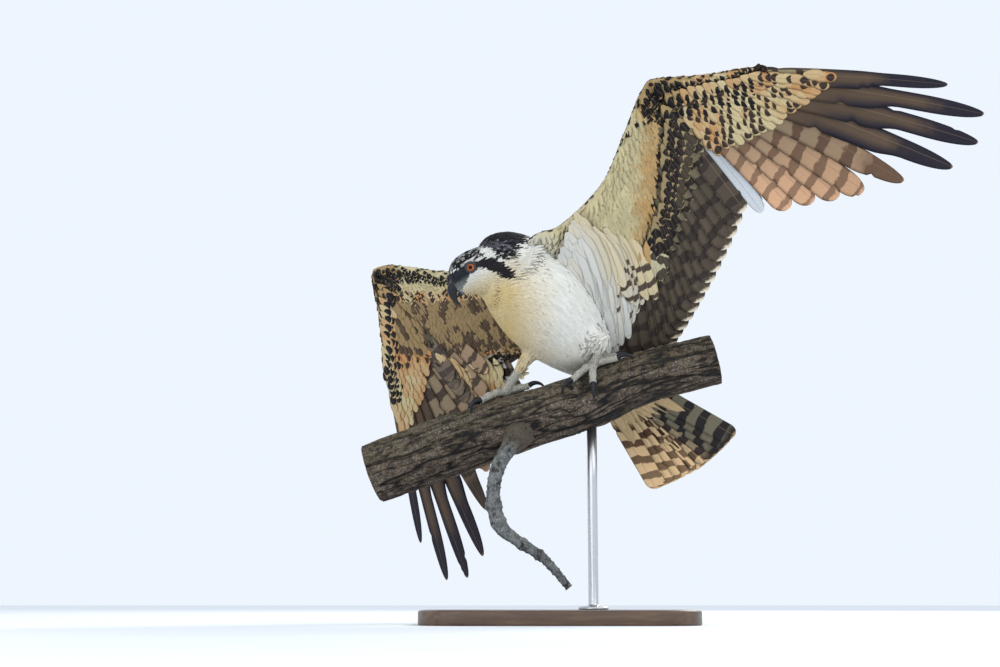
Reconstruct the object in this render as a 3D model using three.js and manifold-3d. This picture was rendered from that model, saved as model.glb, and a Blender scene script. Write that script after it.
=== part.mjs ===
// A life-size osprey standing on a short cut length of branch with both wings spread, on a plain display stand.
// Millimetres, +Z up. The bird looks towards -X, and -Y is the side its breast and underwings face.
// The origin is the middle of the base's underside.
import * as THREE from "three";
import { mergeVertices } from "three/addons/utils/BufferGeometryUtils.js";
import Module from "manifold-3d";

const wasm = await Module();
wasm.setup();

// Sizes shared by many pieces
const GAP = 0.35; // between pieces that touch
const VANE_THICKNESS = 0.8;
const SHINGLE = 0.105; // slope across a feather that lets each lie over the next

// The trunk of the body: its middle, where its long axis points, and its roll
const BODY_MIDDLE = [1, -6, 426];
const HEADING = 48; // degrees from -Y towards -X
const PITCH = 35; // degrees, breast up
const ROLL = 15; // degrees, left side up
// along the axis from tail to neck, half width, height of the back, depth of the breast
const TRUNK = [
  [-112, 24, 14, 17],
  [-98, 33, 22, 27],
  [-70, 50, 36, 40],
  [-25, 65, 48, 57],
  [25, 72, 53, 66],
  [70, 69, 51, 63],
  [100, 60, 46, 57],
  [122, 48, 40, 46],
];

// The head: the point between its eyes, where the bill points, and its sections from brow to nape
const BETWEEN_EYES = [-122, -78, 484];
const HEAD_FORWARD = [-0.88, -0.1, -0.46];
// forward of the eyes, half width, height above the eye line, depth below it
const SKULL = [
  [31, 11, 3, 17],
  [27, 15, 12, 23],
  [20, 19, 20, 28],
  [8, 24.5, 26.5, 34],
  [-6, 28.5, 28.5, 39.5],
  [-22, 31.5, 27, 45],
  [-38, 34, 24, 49],
  [-54, 34, 18, 47],
];
// The neck: middles between head and trunk, half width, half height
const NECK = [
  [-105, -77, 470, 28, 37],
  [-92, -70, 475, 35, 52],
  [-76, -61, 481, 43, 64],
  [-56, -47, 483, 51, 66],
  [-34, -32, 470, 57, 66],
];
const EYE_RADIUS = 8.2;
const EYE_AT = [0, 20.4, 0]; // forward, left, up from the middle of the eyes
const LID_RADIUS = 7.4;
const LID_TUBE = 1.5;

// Bill sections from its base to the hook: forward, up, half width, half height, and how far the section is turned down
const UPPER_BILL = [
  [23, -10, 9.6, 9.2, 12],
  [30, -10.5, 8.8, 8.6, 22],
  [35, -14.5, 6.6, 7.2, 48],
  [37, -21, 4.6, 5.4, 76],
  [37.2, -27, 3.1, 3.8, 90],
  [36.3, -32.5, 1.8, 2.2, 102],
  [34.4, -37, 0.5, 0.6, 112],
];
const LOWER_BILL = [
  [15, -19.5, 8.4, 4.2, 20],
  [22, -22, 7, 4, 26],
  [27, -24, 5, 3.4, 36],
  [30, -26, 2.4, 2.2, 50],
];
const NOSTRIL = { at: [30.5, 7.6, -8.2], length: 5, height: 1.6, depth: 4 };

// Wings. The shoulder is in the trunk's frame; the wrist and the tip of the ninth primary are in the part's frame.
const HUMERUS = 145;
const ULNA = 180;
const HAND = 135;
const SHOULDER = [62, 44, 32]; // along the axis, to the side, above
const LEFT_WING = {
  side: 1,
  wrist: [122, -180, 720],
  longTip: [599, -98, 727],
  firstFan: 8.2, // angle from the hand to the outermost primary
  fan: 1, // how far the rest of the fan opens
  firstSecondary: 115, // angle from the shoulder-wrist line
  lastSecondary: 153,
  secondaryLength: [228, 185], // outermost, innermost
  leadingEdge: [-66, -60, -29, -3, -5, -10], // ahead of the shoulder-wrist line, from the body out
};
const RIGHT_WING = {
  side: -1,
  wrist: [-271, 128, 527],
  longTip: [-158, 213, 50],
  firstFan: 5.2,
  fan: 0.98,
  firstSecondary: 134,
  lastSecondary: 122,
  secondaryLength: [208, 126],
  leadingEdge: [-56, -52, -32, -18, -18, -17],
};
const PRIMARY_LENGTH = [240, 255, 266, 281, 296, 328, 372, 380, 362, 287]; // innermost to outermost
const FAN = [46, 40.6, 36.6, 32.8, 29.4, 23.4, 17.1, 11.3, 5.7, 0]; // degrees back from the outermost
const SECONDARIES = 15;
const PRIMARY_COVERTS = 7;
const SECONDARY_COVERTS = 8;
const COVERT_LIFT = 4.7; // of the greater coverts above and below the flight feathers
const FEATHER_DROOP = 0.06; // how far a feather bends down at its tip, as a share of its length
const COVERT_DROOP = 0.025;
const FEATHER_SWEEP = 0.035; // how far it bends back

// Tail
const TAIL_LENGTH = 224;
const TAIL_WAY = [0.691, 0.441, -0.572];
const TAIL_FEATHERS = 12;
const TAIL_FAN = 17; // degrees to each side
const TAIL_TWIST = 15; // degrees about its own axis, left side up
const TAIL_SHINGLE = 0.17;

// Legs. Feet stand on the branch: along its axis from its middle, and degrees round from its top towards the far side.
const RIGHT_LEG = {
  hip: [-8, -30, -30],
  heel: [-37, -3, 381],
  foot: [-57, 7],
  toes: [6, -32, 124, 178],
  trousers: [27, 28, 23, 15, 11, 8.5],
};
const LEFT_LEG = {
  hip: [-36, 34, -20],
  heel: [66, -42, 392],
  foot: [68, -22],
  toes: [-75, -30, 150, 195],
  trousers: [24, 25, 20, 13, 10, 8.2],
};
const TOE_LENGTH = 40;
const TOE_RADIUS = 6;
const SHANK_FEATHERED = 0.55; // share of the shank under feathers
const CLAW_LENGTH = 30;
const CLAW_RADIUS = 3.9;

// Branch, from its left cut end to its right one, with its radius, and the twig under it
const BRANCH = [
  [-262, 34, 211, 44],
  [-160, 22, 247, 44],
  [-30, 10, 289, 42],
  [58, 4, 317, 40],
  [130, 0, 347, 38],
  [226, -4, 371, 37],
];
const TWIG = [
  [-52, -12, 266, 15],
  [-68, -38, 240, 12],
  [-83, -50, 212, 10.5],
  [-89, -54, 172, 10],
  [-80, -54, 134, 10.5],
  [-56, -52, 113, 8.5],
  [-20, -46, 89, 7],
  [14, -42, 50, 5],
];

// Stand
const BASE = { length: 380, width: 270, height: 20, corner: 60, bevel: 3 };
const ROD = { at: [50, 4], radius: 7, flangeRadius: 21, flangeHeight: 5 };

const rad = THREE.MathUtils.degToRad;
const vec = (list) => new THREE.Vector3(...list);
const along = (start, ...pairs) => {
  const point = start.clone();
  for (let i = 0; i < pairs.length; i += 2) point.addScaledVector(pairs[i], pairs[i + 1]);
  return point;
};

// Smooth rows between the rows of a table of stations: a Catmull-Rom curve through every column
function smoothRows(rows, count) {
  const made = [];
  for (let i = 0; i < count; i += 1) {
    const t = (i / (count - 1)) * (rows.length - 1);
    const k = Math.min(Math.floor(t), rows.length - 2);
    const u = t - k;
    const at = (j) => rows[THREE.MathUtils.clamp(j, 0, rows.length - 1)];
    made.push(
      rows[0].map((_, c) => {
        const [a, b, d, e] = [at(k - 1)[c], at(k)[c], at(k + 1)[c], at(k + 2)[c]];
        return (
          b + 0.5 * u * (d - a + u * (2 * a - 5 * b + 4 * d - e + u * (3 * (b - d) + e - a)))
        );
      }),
    );
  }
  return made;
}

// A closed solid from vertices and triangles, turned to face out
function solidFrom(points, triangles) {
  const vertProperties = new Float32Array(points.flatMap((p) => [p.x, p.y, p.z]));
  const make = (list) =>
    new wasm.Manifold(
      new wasm.Mesh({ numProp: 3, vertProperties, triVerts: new Uint32Array(list.flat()) }),
    );
  const solid = make(triangles);
  return solid.volume() > 0 ? solid : make(triangles.map(([a, b, c]) => [a, c, b]));
}

// A closed solid through rings of equal count, with a fan over each end
function loft(rings) {
  const n = rings[0].length;
  const points = rings.flat();
  const triangles = [];
  for (let i = 0; i + 1 < rings.length; i += 1) {
    for (let j = 0; j < n; j += 1) {
      const [a, b] = [i * n + j, i * n + ((j + 1) % n)];
      triangles.push([a, b, b + n], [a, b + n, a + n]);
    }
  }
  for (const [ring, flip] of [[0, true], [rings.length - 1, false]]) {
    const middle = new THREE.Vector3();
    rings[ring].forEach((p) => middle.addScaledVector(p, 1 / n));
    const hub = points.push(middle) - 1;
    for (let j = 0; j < n; j += 1) {
      const [a, b] = [ring * n + j, ring * n + ((j + 1) % n)];
      triangles.push(flip ? [hub, b, a] : [hub, a, b]);
    }
  }
  return solidFrom(points, triangles);
}

// An oval ring with its own heights above and below its middle
function oval(middle, side, up, halfWidth, above, below, count) {
  return Array.from({ length: count }, (_, j) => {
    const angle = (2 * Math.PI * j) / count;
    const rise = Math.sin(angle);
    return along(middle, side, halfWidth * Math.cos(angle), up, (rise > 0 ? above : below) * rise);
  });
}

// A tube along points with radii, its rings square to the path
function tube(path, radii, count, across = new THREE.Vector3(0, 0, 1)) {
  const rings = path.map((point, i) => {
    const before = path[Math.max(i - 1, 0)];
    const after = path[Math.min(i + 1, path.length - 1)];
    const way = after.clone().sub(before).normalize();
    const side = across.clone().cross(way).normalize();
    const up = way.clone().cross(side).normalize();
    return oval(point, side, up, radii[i], radii[i], radii[i], count);
  });
  return loft(rings);
}

const fuse = (solids) => wasm.Manifold.union(solids);

// The largest closed surface of a solid
function largest(solid) {
  const pieces = solid.decompose();
  return pieces.sort((a, b) => b.volume() - a.volume())[0];
}

// A big block whose near face is the plane through a point, square to a direction, on the side it points to
function halfSpace(point, direction, offset) {
  const size = 900;
  const geometry = new THREE.BoxGeometry(size, size, size).translate(0, 0, size / 2 + offset);
  const turn = new THREE.Quaternion().setFromUnitVectors(new THREE.Vector3(0, 0, 1), direction);
  geometry.applyQuaternion(turn).translate(point.x, point.y, point.z);
  return solidOf(geometry);
}

function solidOf(geometry) {
  const bare = new THREE.BufferGeometry().setAttribute("position", geometry.getAttribute("position"));
  if (geometry.index) bare.setIndex(geometry.index);
  const merged = mergeVertices(bare, 1e-4);
  return new wasm.Manifold(
    new wasm.Mesh({
      numProp: 3,
      vertProperties: new Float32Array(merged.attributes.position.array),
      triVerts: new Uint32Array(merged.index.array),
    }),
  );
}

// The body's own directions
const level = new THREE.Vector3(-Math.sin(rad(HEADING)), -Math.cos(rad(HEADING)), 0);
const axis = level.clone().multiplyScalar(Math.cos(rad(PITCH))).setZ(Math.sin(rad(PITCH)));
const flatLeft = new THREE.Vector3(0, 0, 1).cross(level);
const flatBack = axis.clone().cross(flatLeft);
const left = flatLeft.clone().multiplyScalar(Math.cos(rad(ROLL)));
left.addScaledVector(flatBack, Math.sin(rad(ROLL)));
const back = axis.clone().cross(left);
const middle = vec(BODY_MIDDLE);
const inBody = ([a, l, b]) => along(middle, axis, a, left, l, back, b);

const headForward = vec(HEAD_FORWARD).normalize();
const headLeft = new THREE.Vector3(0, 0, 1).cross(headForward).normalize();
const headUp = headForward.clone().cross(headLeft);
const betweenEyes = vec(BETWEEN_EYES);
const inHead = ([f, l, u]) => along(betweenEyes, headForward, f, headLeft, l, headUp, u);

function trunkSolid(grow) {
  const rings = smoothRows(TRUNK, 13).map(([a, w, up, down], i, all) => {
    const end = i === 0 ? -grow : i === all.length - 1 ? grow : 0;
    return oval(inBody([a + end, 0, 0]), left, back, w + grow, up + grow, down + grow, 20);
  });
  return loft(rings);
}

function neckSolid(grow) {
  const rows = smoothRows(NECK, 6);
  const rings = rows.map(([x, y, z, w, h], i) => {
    const here = new THREE.Vector3(x, y, z);
    const ahead = vec(rows[Math.max(i - 1, 0)].slice(0, 3));
    const behind = vec(rows[Math.min(i + 1, rows.length - 1)].slice(0, 3));
    const way = ahead.sub(behind).normalize();
    const share = i / (rows.length - 1);
    const side = headLeft.clone().lerp(left, share);
    side.addScaledVector(way, -side.dot(way)).normalize();
    return oval(here, side, way.clone().cross(side), w + grow, h + grow, h + grow, 18);
  });
  return loft(rings);
}

function skullSolid(grow) {
  const rows = smoothRows(SKULL, 11);
  const rings = rows.map(([f, w, up, down]) =>
    oval(inHead([f, 0, 0]), headLeft, headUp, w + grow, up + grow, down + grow, 18),
  );
  return loft(rings);
}

function billSolid(rows, count, grow) {
  const rings = smoothRows(rows, count).map(([f, u, w, h, turn]) => {
    const way = along(new THREE.Vector3(), headForward, Math.cos(rad(turn)), headUp, -Math.sin(rad(turn)));
    const up = way.clone().cross(headLeft);
    return oval(inHead([f, 0, u]), headLeft, up, w + grow, h + grow, h + grow, 10);
  });
  return loft(rings);
}

// One feather vane: a plate that widens from its root, bends and ends in a rounded tip.
// outer and inner give its half widths along its length, on the leading and trailing side.
function vane({ root, way, lead, up, length, stations, outer, inner, droop, sweep, slope = SHINGLE, grow = 0 }) {
  const half = VANE_THICKNESS / 2 + grow;
  const points = [];
  stations.forEach((s, i) => {
    const spine = along(root, way, length * s, lead, -sweep * length * s * s, up, -droop * length * s * s);
    const [o, n] = [outer[i] + grow, inner[i] + grow];
    const front = along(spine, lead, o, up, slope * o);
    const rear = along(spine, lead, -n, up, -slope * n);
    points.push(along(front, up, half), along(rear, up, half), along(front, up, -half), along(rear, up, -half));
  });
  const triangles = [];
  const last = (stations.length - 1) * 4;
  for (let a = 0; a < last; a += 4) {
    triangles.push([a, a + 5, a + 1], [a, a + 4, a + 5]); // above
    triangles.push([a + 2, a + 3, a + 7], [a + 2, a + 7, a + 6]); // below, split alike
    triangles.push([a, a + 2, a + 6], [a, a + 6, a + 4]); // leading edge
    triangles.push([a + 1, a + 5, a + 7], [a + 1, a + 7, a + 3]); // trailing edge
  }
  triangles.push([0, 1, 3], [0, 3, 2]);
  triangles.push([last, last + 3, last + 1], [last, last + 2, last + 3]);
  return solidFrom(points, triangles);
}

const BROAD = {
  stations: [0, 0.2, 0.82, 0.94, 1],
  outer: [3, 8, 12.5, 9, 3],
  inner: [3, 12, 19, 13, 4],
};
const FINGER = {
  stations: [0, 0.14, 0.4, 0.54, 0.64, 0.9, 1],
  outer: [3, 7, 9.5, 9.5, 9.5, 9, 2],
  inner: [3, 11, 23, 23, 15.5, 14, 3],
};
const COVERT = {
  stations: [0, 0.8, 1],
  outer: [6, 10, 3],
  inner: [7, 13, 4],
};
const TAIL_FEATHER = {
  stations: [0, 0.3, 0.8, 0.95, 1],
  outer: [2, 6, 11.5, 11, 5],
  inner: [2, 9, 19.5, 16, 6],
};

// The flesh of a wing: a thick leading edge that thins to where the feathers leave it.
const CHORD_SHARES = [0.05, 0.2, 0.45, 0.75, 1];
const CHORD_HEIGHTS = [0.5, 0.92, 1, 0.74, 0.5];

function wingSection(front, rear, up, thickness, grow) {
  const way = rear.clone().sub(front);
  const chord = way.length();
  way.normalize();
  const start = along(front, way, -grow);
  const point = (k, sign) =>
    along(start, way, CHORD_SHARES[k] * (chord + 2 * grow), up, sign * ((CHORD_HEIGHTS[k] * thickness) / 2 + grow));
  const above = CHORD_SHARES.map((_, k) => point(k, 1));
  const below = CHORD_SHARES.map((_, k) => point(k, -1)).reverse();
  return [start, ...above, ...below];
}

function makeWing(spec) {
  const shoulder = inBody([SHOULDER[0], spec.side * SHOULDER[1], SHOULDER[2]]);
  const wrist = vec(spec.wrist);
  const e1 = wrist.clone().sub(shoulder);
  const reach = e1.length();
  e1.normalize();
  const toTip = vec(spec.longTip).sub(wrist);
  const tipAngle = Math.acos(toTip.clone().normalize().dot(e1));
  const e2 = toTip.clone().addScaledVector(e1, -toTip.dot(e1)).normalize();
  const up = e1.clone().cross(e2).multiplyScalar(spec.side);
  const at = ([x, y], z = 0) => along(shoulder, e1, x, e2, y, up, z);
  const direction = (angle) =>
    along(new THREE.Vector3(), e1, Math.cos(angle), e2, Math.sin(angle));

  // the elbow, from the lengths of the two arm bones
  const elbowX = (HUMERUS ** 2 - ULNA ** 2 + reach ** 2) / (2 * reach);
  const elbow = [elbowX, Math.sqrt(HUMERUS ** 2 - elbowX ** 2)];
  // the hand, turned so that the ninth primary's tip lies at its place
  const ninthAngle = rad(spec.firstFan + spec.fan * FAN[8]);
  const ninthBase = HAND * 0.88;
  const ninth = PRIMARY_LENGTH[8];
  const ninthFromWrist = Math.atan2(
    ninth * Math.sin(ninthAngle),
    ninthBase + ninth * Math.cos(ninthAngle),
  );
  const handAngle = tipAngle - ninthFromWrist;
  const handAt = (share, off) => [
    reach + HAND * share * Math.cos(handAngle) - off * Math.sin(handAngle),
    HAND * share * Math.sin(handAngle) + off * Math.cos(handAngle),
  ];

  // front and rear of the flesh with its thickness, from the body out to the wrist, then along the hand
  const ulna = (share) => [
    elbow[0] + (reach - elbow[0]) * share,
    elbow[1] * (1 - share),
  ];
  const ulnaAngle = Math.atan2(-elbow[1], reach - elbow[0]);
  const behindUlna = (share, off) => {
    const [x, y] = ulna(share);
    return [x - off * Math.sin(ulnaAngle), y + off * Math.cos(ulnaAngle)];
  };
  const bisector = (handAngle + ulnaAngle) / 2 + Math.PI / 2;
  const wristRear = [reach + 34 * Math.cos(bisector), 34 * Math.sin(bisector)];
  const wristFront = [reach - 9 * Math.cos(bisector), -9 * Math.sin(bisector)];
  const edge = spec.leadingEdge;
  const armRows = [
    [-30, edge[0], -34, 92, 36],
    [26, edge[1], 14, 106, 38],
    [reach * 0.2, edge[2], elbow[0] * 0.72, elbow[1] + 30, 34],
    [reach * 0.46, edge[3], ...behindUlna(0.06, 30), 28],
    [reach * 0.7, edge[4], ...behindUlna(0.42, 28), 26],
    [reach * 0.9, edge[5], ...behindUlna(0.78, 27), 24],
    [...wristFront, ...wristRear, 22],
  ];
  const handRows = [
    [...wristFront, ...wristRear, 22],
    [...handAt(0.12, -9), ...handAt(0.22, 31), 20],
    [...handAt(0.45, -6), ...handAt(0.5, 27), 16],
    [...handAt(0.8, -6), ...handAt(0.82, 20), 13],
    [...handAt(1.08, -5), ...handAt(1.08, 9), 10.5],
  ];
  const flesh = (rows, count, grow) =>
    loft(
      smoothRows(rows, count).map(([fx, fy, rx, ry, t]) =>
        wingSection(at([fx, fy]), at([rx, ry]), up, t, grow),
      ),
    );

  // flight feathers, outermost last
  const sideways = (angle) => direction(angle - Math.PI / 2);
  const feather = (base, angle, length, shape, lift, scale, grow) =>
    vane({
      root: at(base, lift),
      way: direction(angle),
      lead: sideways(angle),
      up,
      length,
      stations: shape.stations,
      outer: shape.outer.map((w) => w * scale),
      inner: shape.inner.map((w) => w * scale),
      droop: shape === COVERT ? COVERT_DROOP : FEATHER_DROOP,
      sweep: FEATHER_SWEEP,
      grow,
    });
  const primaryAngle = (share) => {
    const k = Math.min(Math.floor(share * 9), 8);
    const opened = THREE.MathUtils.lerp(FAN[k], FAN[k + 1], share * 9 - k);
    return handAngle + rad(spec.firstFan + spec.fan * opened);
  };
  const primary = (i, grow = 0) => {
    const share = i / 9;
    const shape = i > 4 ? FINGER : BROAD;
    const scale = [1.02, 1.02, 1.02, 1, 1, 1, 1.02, 1.02, 0.98, 0.8][i];
    return feather(
      handAt(0.1 + 0.88 * share, 4),
      primaryAngle(share),
      PRIMARY_LENGTH[i],
      shape,
      0,
      scale,
      grow,
    );
  };
  const armBase = (share) => {
    const past = share * 1.45;
    if (past <= 1) return ulna(1 - past - 0.03);
    const left = 1 - (past - 1) * 1.1;
    return [elbow[0] * left, elbow[1] * left + 6];
  };
  const armAngle = (share) =>
    rad(spec.firstSecondary + (spec.lastSecondary - spec.firstSecondary) * share);
  const secondary = (i, grow = 0) => {
    const share = i / (SECONDARIES - 1);
    const [outerLength, innerLength] = spec.secondaryLength;
    const length = outerLength + (innerLength - outerLength) * share ** 2;
    return feather(armBase(share), armAngle(share), length, BROAD, 0, 1, grow);
  };
  const primaryCovert = (i, sign, grow = 0) => {
    const share = i / (PRIMARY_COVERTS - 1);
    const base = handAt(0.14 + 0.84 * share, 2);
    return feather(base, primaryAngle(share) - rad(2), 96 + 22 * share, COVERT, sign * COVERT_LIFT, 1, grow);
  };
  const secondaryCovert = (i, sign, grow = 0) => {
    const share = i / (SECONDARY_COVERTS - 1);
    return feather(armBase(share), armAngle(share) - rad(2), 94, COVERT, sign * COVERT_LIFT, 1.12, grow);
  };
  const each = (count, make) => Array.from({ length: count }, (_, i) => make(i));
  const bothSides = (count, make) => [1, -1].flatMap((sign) => each(count, (i) => make(i, sign)));

  // the two nodes part at the wrist
  const cut = direction(bisector - Math.PI / 2);
  const wristPoint = at([reach, 0]);
  const beyond = halfSpace(wristPoint, cut, -GAP / 2);
  const before = halfSpace(wristPoint, cut.clone().negate(), -GAP / 2);
  const nearWrist = (grow) =>
    fuse([
      ...each(3, (i) => secondary(i, grow)),
      ...[1, -1].flatMap((sign) => each(2, (i) => secondaryCovert(i, sign, grow))),
    ]);
  const handParts = (grow) => [
    largest(flesh(handRows, 8, grow).subtract(before).subtract(nearWrist(GAP - grow))),
    ...each(10, (i) => primary(i, grow)),
    ...bothSides(PRIMARY_COVERTS, (i, sign) => primaryCovert(i, sign, grow)),
  ];
  const hand = fuse(handParts(0));
  const arm = fuse([
    flesh(armRows, 12, 0).subtract(beyond),
    ...each(SECONDARIES, (i) => secondary(i)),
    ...bothSides(SECONDARY_COVERTS, secondaryCovert),
  ]).subtract(fuse(handParts(GAP)));
  return { arm, hand };
}

// The tail: a fan of feathers from a short fleshy root, with coverts above and below
function makeTail() {
  const way = vec(TAIL_WAY).normalize();
  const lead = left.clone().multiplyScalar(Math.cos(rad(TAIL_TWIST)));
  lead.addScaledVector(back, Math.sin(rad(TAIL_TWIST)));
  lead.addScaledVector(way, -lead.dot(way)).normalize();
  const up = lead.clone().cross(way);
  const start = inBody([TRUNK[0][0] - GAP, 0, 0]);
  const root = loft(
    [
      [0, 23.5, 13.5, 16.5],
      [10, 25, 11, 14],
      [24, 25, 8, 10],
      [40, 22, 4.5, 5],
    ].map(([d, w, above, below]) => oval(along(start, way, d), lead, up, w, above, below, 16)),
  );
  const pieces = [root];
  const add = (share, lift, length, reachBack, shape, scale) => {
    const angle = rad(TAIL_FAN * share);
    const out = Math.sign(share) || 1;
    const toEdge = lead.clone().multiplyScalar(Math.cos(angle)).addScaledVector(way, -Math.sin(angle));
    const outwards = way.clone().multiplyScalar(Math.cos(angle)).addScaledVector(lead, Math.sin(angle));
    pieces.push(
      vane({
        root: along(start, way, reachBack, lead, 24 * share, up, lift - 3.4 * Math.abs(share)),
        way: outwards,
        lead: toEdge.multiplyScalar(out),
        up,
        slope: TAIL_SHINGLE,
        length,
        stations: shape.stations,
        outer: shape.outer.map((w) => w * scale),
        inner: shape.inner.map((w) => w * scale),
        droop: 0.02,
        sweep: 0,
      }),
    );
  };
  for (let i = 0; i < TAIL_FEATHERS; i += 1) {
    const share = (2 * i + 1) / TAIL_FEATHERS - 1;
    add(share, 0, TAIL_LENGTH - 14 - 8 * Math.abs(share), 14, TAIL_FEATHER, 1);
  }
  const coverts = 6;
  for (const sign of [1, -1]) {
    for (let i = 0; i < coverts; i += 1) {
      const share = ((2 * i + 1) / coverts - 1) * 0.8;
      add(share, sign * 5.6, sign > 0 ? 70 : 88, 8, COVERT, 1.2);
    }
  }
  return fuse(pieces);
}

// The branch under the feet
const branchRows = smoothRows(BRANCH, 18);
const branchEnds = [vec(BRANCH[0].slice(0, 3)), vec(BRANCH.at(-1).slice(0, 3))];
const branchWay = branchEnds[1].clone().sub(branchEnds[0]).normalize();
const branchFar = new THREE.Vector3(0, 0, 1).cross(branchWay).normalize();
const branchTop = branchWay.clone().cross(branchFar).normalize();

function branchSolid(grow) {
  const rings = branchRows.map(([x, y, z, r], i, all) => {
    const end = i === 0 ? -grow : i === all.length - 1 ? grow : 0;
    const centre = along(new THREE.Vector3(x, y, z), branchWay, end);
    const count = 16;
    return Array.from({ length: count }, (_, j) => {
      const angle = (2 * Math.PI * j) / count;
      const ridge = 1.5 * Math.sin(5 * angle + 0.33 * i) + 0.9 * Math.sin(3 * angle - 0.6 * i + 2);
      const radius = r + ridge + grow;
      return along(centre, branchFar, radius * Math.sin(angle), branchTop, radius * Math.cos(angle));
    });
  });
  return loft(rings);
}

// A point over the branch, that far along from its middle part, that many degrees round, that high over its bark
function overBranch(alongX, degrees, height) {
  const places = branchRows.map(([x]) => x);
  let k = places.findIndex((x) => x > alongX) - 1;
  k = THREE.MathUtils.clamp(k, 0, branchRows.length - 2);
  const share = (alongX - places[k]) / (places[k + 1] - places[k]);
  const [x, y, z, r] = branchRows[k].map((value, c) => value + (branchRows[k + 1][c] - value) * share);
  const angle = rad(degrees);
  const radius = r + 0.6 + height;
  const centre = new THREE.Vector3(x, y, z);
  return along(centre, branchFar, radius * Math.sin(angle), branchTop, radius * Math.cos(angle));
}

// A toe follows the bark from the ball of the foot; its claw arches on and points back at the bark
function makeToes(leg, grow) {
  const [footX, footAngle] = leg.foot;
  const around = 46; // radius at which a toe's middle turns round the branch
  const place = (distance, way, height) => {
    const forward = -Math.cos(rad(way)) * distance;
    const sideways = (Math.sin(rad(way)) * distance) / around;
    return overBranch(footX + forward * branchWay.x, footAngle + THREE.MathUtils.radToDeg(sideways), height);
  };
  return leg.toes.map((way, index) => {
    const length = TOE_LENGTH * [1, 1.08, 0.96, 0.86][index];
    const steps = 6;
    const path = [];
    const radii = [];
    for (let i = 0; i < steps; i += 1) {
      const s = i / (steps - 1);
      const pad = 1 + 0.08 * Math.cos(i * Math.PI);
      const radius = TOE_RADIUS * (1 - 0.22 * s) * pad;
      path.push(place(length * s, way, radius + 0.6 + 2.5 * Math.sin(Math.PI * s) * (1 - s)));
      radii.push(radius + grow);
    }
    const tip = path.at(-1);
    const ahead = tip.clone().sub(path.at(-2)).normalize();
    const outward = place(length, way, 30).sub(place(length, way, 0)).normalize();
    const rise = outward.clone().addScaledVector(ahead, -outward.dot(ahead)).normalize();
    const clawSteps = 6;
    const clawPath = [];
    const clawRadii = [];
    const bend = 2.15; // radians from base to point
    const arc = CLAW_LENGTH / bend;
    for (let i = 0; i < clawSteps; i += 1) {
      const s = i / (clawSteps - 1);
      const angle = -0.62 + bend * s;
      clawPath.push(
        along(tip, ahead, GAP + arc * (Math.sin(angle) + Math.sin(0.62)), rise, arc * (Math.cos(angle) - Math.cos(0.62))),
      );
      clawRadii.push(CLAW_RADIUS * (1 - s) ** 0.8 + 0.35);
    }
    return { toe: tube(path, radii, 6), claw: { path: clawPath, radii: clawRadii, ahead, tip } };
  });
}

// The bare end of the shank, the ball of the foot and the toes
function makeFoot(leg, grow) {
  const { heel, shank, shankEnd, ball } = shankOf(leg);
  const start = along(shankEnd, shank.clone().normalize(), GAP - grow);
  const ankle = tube([start, along(heel, shank, 0.8), ball], [6.6, 6.4, 8].map((r) => r + grow), 10, branchWay);
  const knuckle = new THREE.SphereGeometry(8.4 + grow, 8, 6).translate(ball.x, ball.y, ball.z);
  return fuse([ankle, solidOf(knuckle), ...makeToes(leg, grow).map(({ toe }) => toe)]);
}

function shankOf(leg) {
  const heel = vec(leg.heel);
  const ball = overBranch(leg.foot[0], leg.foot[1], TOE_RADIUS + 1.5);
  const shank = ball.clone().sub(heel);
  return { heel, ball, shank, shankEnd: along(heel, shank, SHANK_FEATHERED) };
}

// The feathered leg from inside the body to the shank: two straight lengths that meet at the heel
function makeTrousers(leg) {
  const hip = inBody(leg.hip);
  const { heel, shank, shankEnd } = shankOf(leg);
  const [top, start, middle, bend, calf, end] = leg.trousers;
  const half = hip.clone().lerp(heel, 0.5);
  const thigh = tube([hip.clone().lerp(heel, -0.15), hip, half, heel], [top, start, middle, bend], 9, branchWay);
  const knob = new THREE.SphereGeometry(bend, 9, 6).translate(heel.x, heel.y, heel.z);
  const lower = tube([heel, along(heel, shank, 0.3), shankEnd], [bend * 0.92, calf, end], 9, branchWay);
  return fuse([thigh, solidOf(knob), lower]);
}

function makeClaw({ path, radii, ahead, tip }) {
  const side = branchWay.clone().cross(ahead).normalize();
  const rings = path.map((point, i) => {
    const before = path[Math.max(i - 1, 0)];
    const after = path[Math.min(i + 1, path.length - 1)];
    const way = i === 0 ? ahead : after.clone().sub(before).normalize();
    const across = way.clone().cross(side).normalize();
    return oval(point, across.clone().cross(way), across, radii[i], radii[i], radii[i], 6);
  });
  return loft(rings);
}

const branchGrown = branchSolid(GAP);

const materials = {
  white: new THREE.MeshStandardMaterial({ color: 0xe9e4d6, roughness: 0.85 }),
  brown: new THREE.MeshStandardMaterial({ color: 0x4a3a2e, roughness: 0.8 }),
  buff: new THREE.MeshStandardMaterial({ color: 0xb89a70, roughness: 0.85 }),
  bill: new THREE.MeshStandardMaterial({ color: 0x22252b, roughness: 0.35 }),
  eye: new THREE.MeshStandardMaterial({ color: 0xd0682a, roughness: 0.1 }),
  foot: new THREE.MeshStandardMaterial({ color: 0x9fa8a4, roughness: 0.7 }),
  claw: new THREE.MeshStandardMaterial({ color: 0x15151a, roughness: 0.3 }),
  bark: new THREE.MeshStandardMaterial({ color: 0x6d5f4d, roughness: 0.95 }),
  base: new THREE.MeshStandardMaterial({ color: 0x5a4130, roughness: 0.5 }),
  rod: new THREE.MeshStandardMaterial({ color: 0x8b8d90, roughness: 0.35, metalness: 1 }),
};

const bird = new THREE.Group();

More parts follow.
